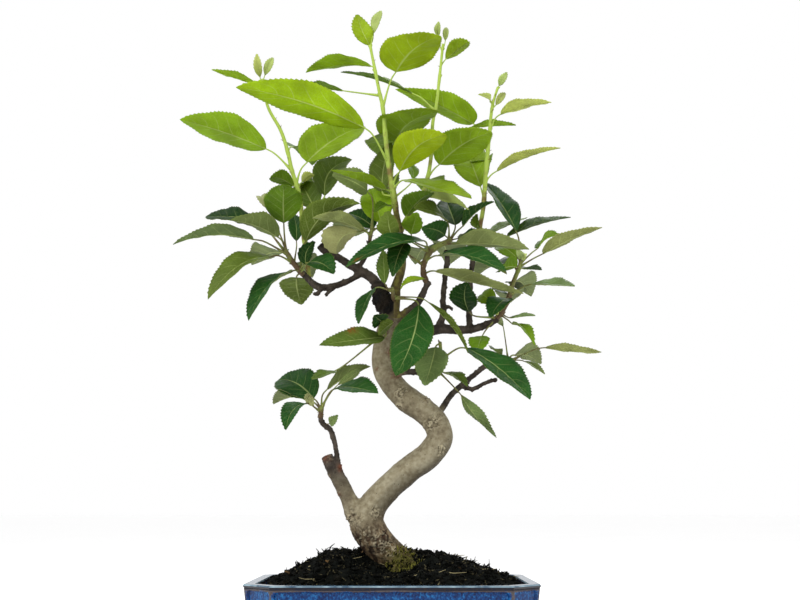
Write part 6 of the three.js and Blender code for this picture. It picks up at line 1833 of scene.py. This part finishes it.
    def drill(self, data: Mesh) -> Mesh:
        """Return the shell with its two drain holes cut through the floor."""
        shell = bpy.data.objects.new("shell", data)
        cutter = bmesh.new()
        for side in (-1, 1):
            bmesh.ops.create_cone(cutter, cap_ends=True, segments=48, radius1=self.drain_radius,
                                  radius2=self.drain_radius, depth=40,
                                  matrix=Matrix.Translation((side * self.drain_offset, 0, self.foot_height)))
        holes = bpy.data.meshes.new("drains")
        cutter.to_mesh(holes)
        cutter.free()
        drains = bpy.data.objects.new("drains", holes)
        for piece in (shell, drains):
            bpy.context.scene.collection.objects.link(piece)
        cut = shell.modifiers.new("drains", "BOOLEAN")
        cut.object = drains
        cut.operation = "DIFFERENCE"
        cut.solver = "EXACT"
        bpy.context.view_layer.update()
        drained = bpy.data.meshes.new_from_object(shell.evaluated_get(bpy.context.evaluated_depsgraph_get()))
        bpy.data.objects.remove(shell)
        bpy.data.objects.remove(drains)
        return drained

    def add_feet(self, mesh: BMesh) -> None:
        """Add the four feet, narrower towards the ground."""
        long, deep = self.foot_size
        x = self.length / 2 * self.taper - long / 2 - self.foot_setback
        y = self.depth / 2 * self.taper - deep / 2 - self.foot_setback
        tall = self.foot_height + 1.0
        for side_x in (-1, 1):
            for side_y in (-1, 1):
                made = bmesh.ops.create_cube(mesh, size=1.0)["verts"]
                for vert in made:
                    share = self.foot_taper if vert.co.z < 0 else 1.0
                    vert.co = Vector((side_x * x + vert.co.x * long * share,
                                      side_y * y + vert.co.y * deep * share, (vert.co.z + 0.5) * tall))

    def round_edges(self, mesh: BMesh) -> None:
        """Round every sharp edge, as thick glaze does."""
        sharp = [edge for edge in mesh.edges
                 if len(edge.link_faces) == 2 and edge.calc_face_angle(0.0) > math.radians(18)]
        bmesh.ops.bevel(mesh, geom=sharp, offset=self.edge_round, offset_type="OFFSET", segments=3,
                        profile=0.5, affect="EDGES", material=-1, clamp_overlap=True)

    def paint(self, mesh: BMesh) -> None:
        """Mark the pot's edges, where the glaze breaks brown."""
        edge = mesh.verts.layers.float.new("edge")
        high = self.height - self.lip_height
        for vert in mesh.verts:
            scale = 1 - (1 - self.taper) * max(0.0, min(1.0, (high - vert.co.z) / (high - self.foot_height)))
            flat = Vector((vert.co.x, vert.co.y, 0))
            inset = self.lip_reach if vert.co.z < high - 0.5 else 0.0
            near = min((corner - flat).length for corner in self.outline(inset, scale))
            rail = 1.0 if high - 1.6 < vert.co.z < high - 0.5 or vert.co.z < self.foot_height + 1.6 else 0.0
            vert[edge] = max(bell(near, 2.0), rail * 0.8)


@dataclass
class Studio:
    """The pale floor, the soft lights and the camera at the view that the tree was read from."""

    floor_size: float = 60.0
    floor_tones: tuple[Colour, Colour] = ((0.97, 0.97, 0.97, 1), (1, 1, 1, 1))
    white: Colour = (1, 1, 1, 1)
    aim_height: float = 0.28

    def build(self) -> None:
        """Set up the studio."""
        self.lay_floor()
        self.light()
        self.aim()

    def lay_floor(self) -> None:
        """Lay a plain pale floor under the pot."""
        mesh = bmesh.new()
        bmesh.ops.create_grid(mesh, x_segments=1, y_segments=1, size=self.floor_size / 2)
        data = bpy.data.meshes.new("studio_floor")
        mesh.to_mesh(data)
        mesh.free()
        floor = bpy.data.objects.new("studio_floor", data)
        bpy.context.scene.collection.objects.link(floor)
        paint = Recipe("pale_floor")
        shade, bright = self.floor_tones
        paint.dress(paint.ramp(paint.grain(3, 2), ((0.0, shade), (1.0, bright))), 0.9)
        data.materials.append(paint.material)

    def light(self) -> None:
        """Light the tree with a white room, a large soft lamp and a fill."""
        world = bpy.context.scene.world or bpy.data.worlds.new("studio")
        bpy.context.scene.world = world
        world.use_nodes = True
        background = world.node_tree.nodes["Background"]
        background.inputs["Color"].default_value = self.white
        background.inputs["Strength"].default_value = 1.0
        lamps = (("key_lamp", (-0.75, -0.85, 1.35), 0.9, 16.0), ("fill_lamp", (0.9, -0.9, 0.6), 0.8, 3.0),
                 ("back_lamp", (0.3, 0.9, 1.2), 0.8, 7.0))
        for name, place, size, power in lamps:
            lamp = bpy.data.lights.new(name, "AREA")
            lamp.shape = "SQUARE"
            lamp.size = size
            lamp.energy = power
            holder = bpy.data.objects.new(name, lamp)
            holder.location = place
            toward = Vector((0, 0, self.aim_height)) - Vector(place)
            holder.rotation_euler = toward.to_track_quat("-Z", "Y").to_euler()
            bpy.context.scene.collection.objects.link(holder)
        bpy.context.scene.view_settings.view_transform = "Standard"

    def aim(self) -> None:
        """Put the camera at the eye, with the view's own focal length and pitch."""
        camera = bpy.data.cameras.new("view_camera")
        camera.sensor_width = SENSOR_WIDTH
        camera.sensor_fit = "HORIZONTAL"
        camera.lens = VIEW_FOCAL * SENSOR_WIDTH / IMAGE_WIDTH
        camera.clip_end = 100.0
        holder = bpy.data.objects.new("view_camera", camera)
        holder.location = EYE * MM + SHIFT
        holder.rotation_euler = (math.pi / 2 + VIEW_PITCH, 0, 0)
        bpy.context.scene.collection.objects.link(holder)
        bpy.context.scene.camera = holder


def main() -> None:
    """Build every piece of the bonsai in order, then the studio round it."""
    logging.basicConfig(level=logging.INFO, format="%(message)s")
    young_stem = StemFinish("young_stem", linear(154, 176, 74), linear(110, 84, 52)).material()
    old_stem = StemFinish("old_stem", linear(112, 122, 60), linear(84, 66, 46)).material()
    young = [LeafFinish("young_upper", 0.8, 0.4, 0.5, 0.4, -1.0, 0.15).material(),
             LeafFinish("young_under", 0.9, 0.45, 0.56, 0.4, 1.0, 0.12).material(), young_stem]
    grown = [LeafFinish("leaf_upper", 0.55, 0.2, 0.48, 0.1, -1.0, 0.07).material(),
             LeafFinish("leaf_under", 0.8, 0.45, 0.6, 0.16, 1.0, 0.06).material(), old_stem]
    for shoot in SHOOTS:
        ShootPiece(shoot, young if shoot.young else grown).build()
    wood = Wood()
    wood.build(BarkFinish().material())
    Soil().build({
        "soil": LooseFinish("dark_soil", linear(4, 5, 4), linear(17, 19, 16), 300).material(),
        "crumb": LooseFinish("soil_crumb", linear(4, 5, 4), linear(24, 23, 18), 500).material(),
        "fibre": LooseFinish("soil_fibre", linear(6, 7, 6), linear(150, 140, 104), 500, 0.85).material(),
        "chip": LooseFinish("bark_chip", linear(30, 22, 14), linear(118, 92, 58), 400, 0.8).material(),
        "moss": LooseFinish("moss", linear(20, 22, 8), linear(118, 116, 52), 600, 0.9).material(),
    }, wood.moss_spots)
    Pot().build(GlazeFinish(POT_HIGH.z).material())
    plastic = MeshFinish().material()
    for side in ("left", "right"):
        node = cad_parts[f"drain_mesh_{side}"]
        node.data.materials.clear()
        node.data.materials.append(plastic)
    Studio().build()


if __name__ == "__main__":
    main()
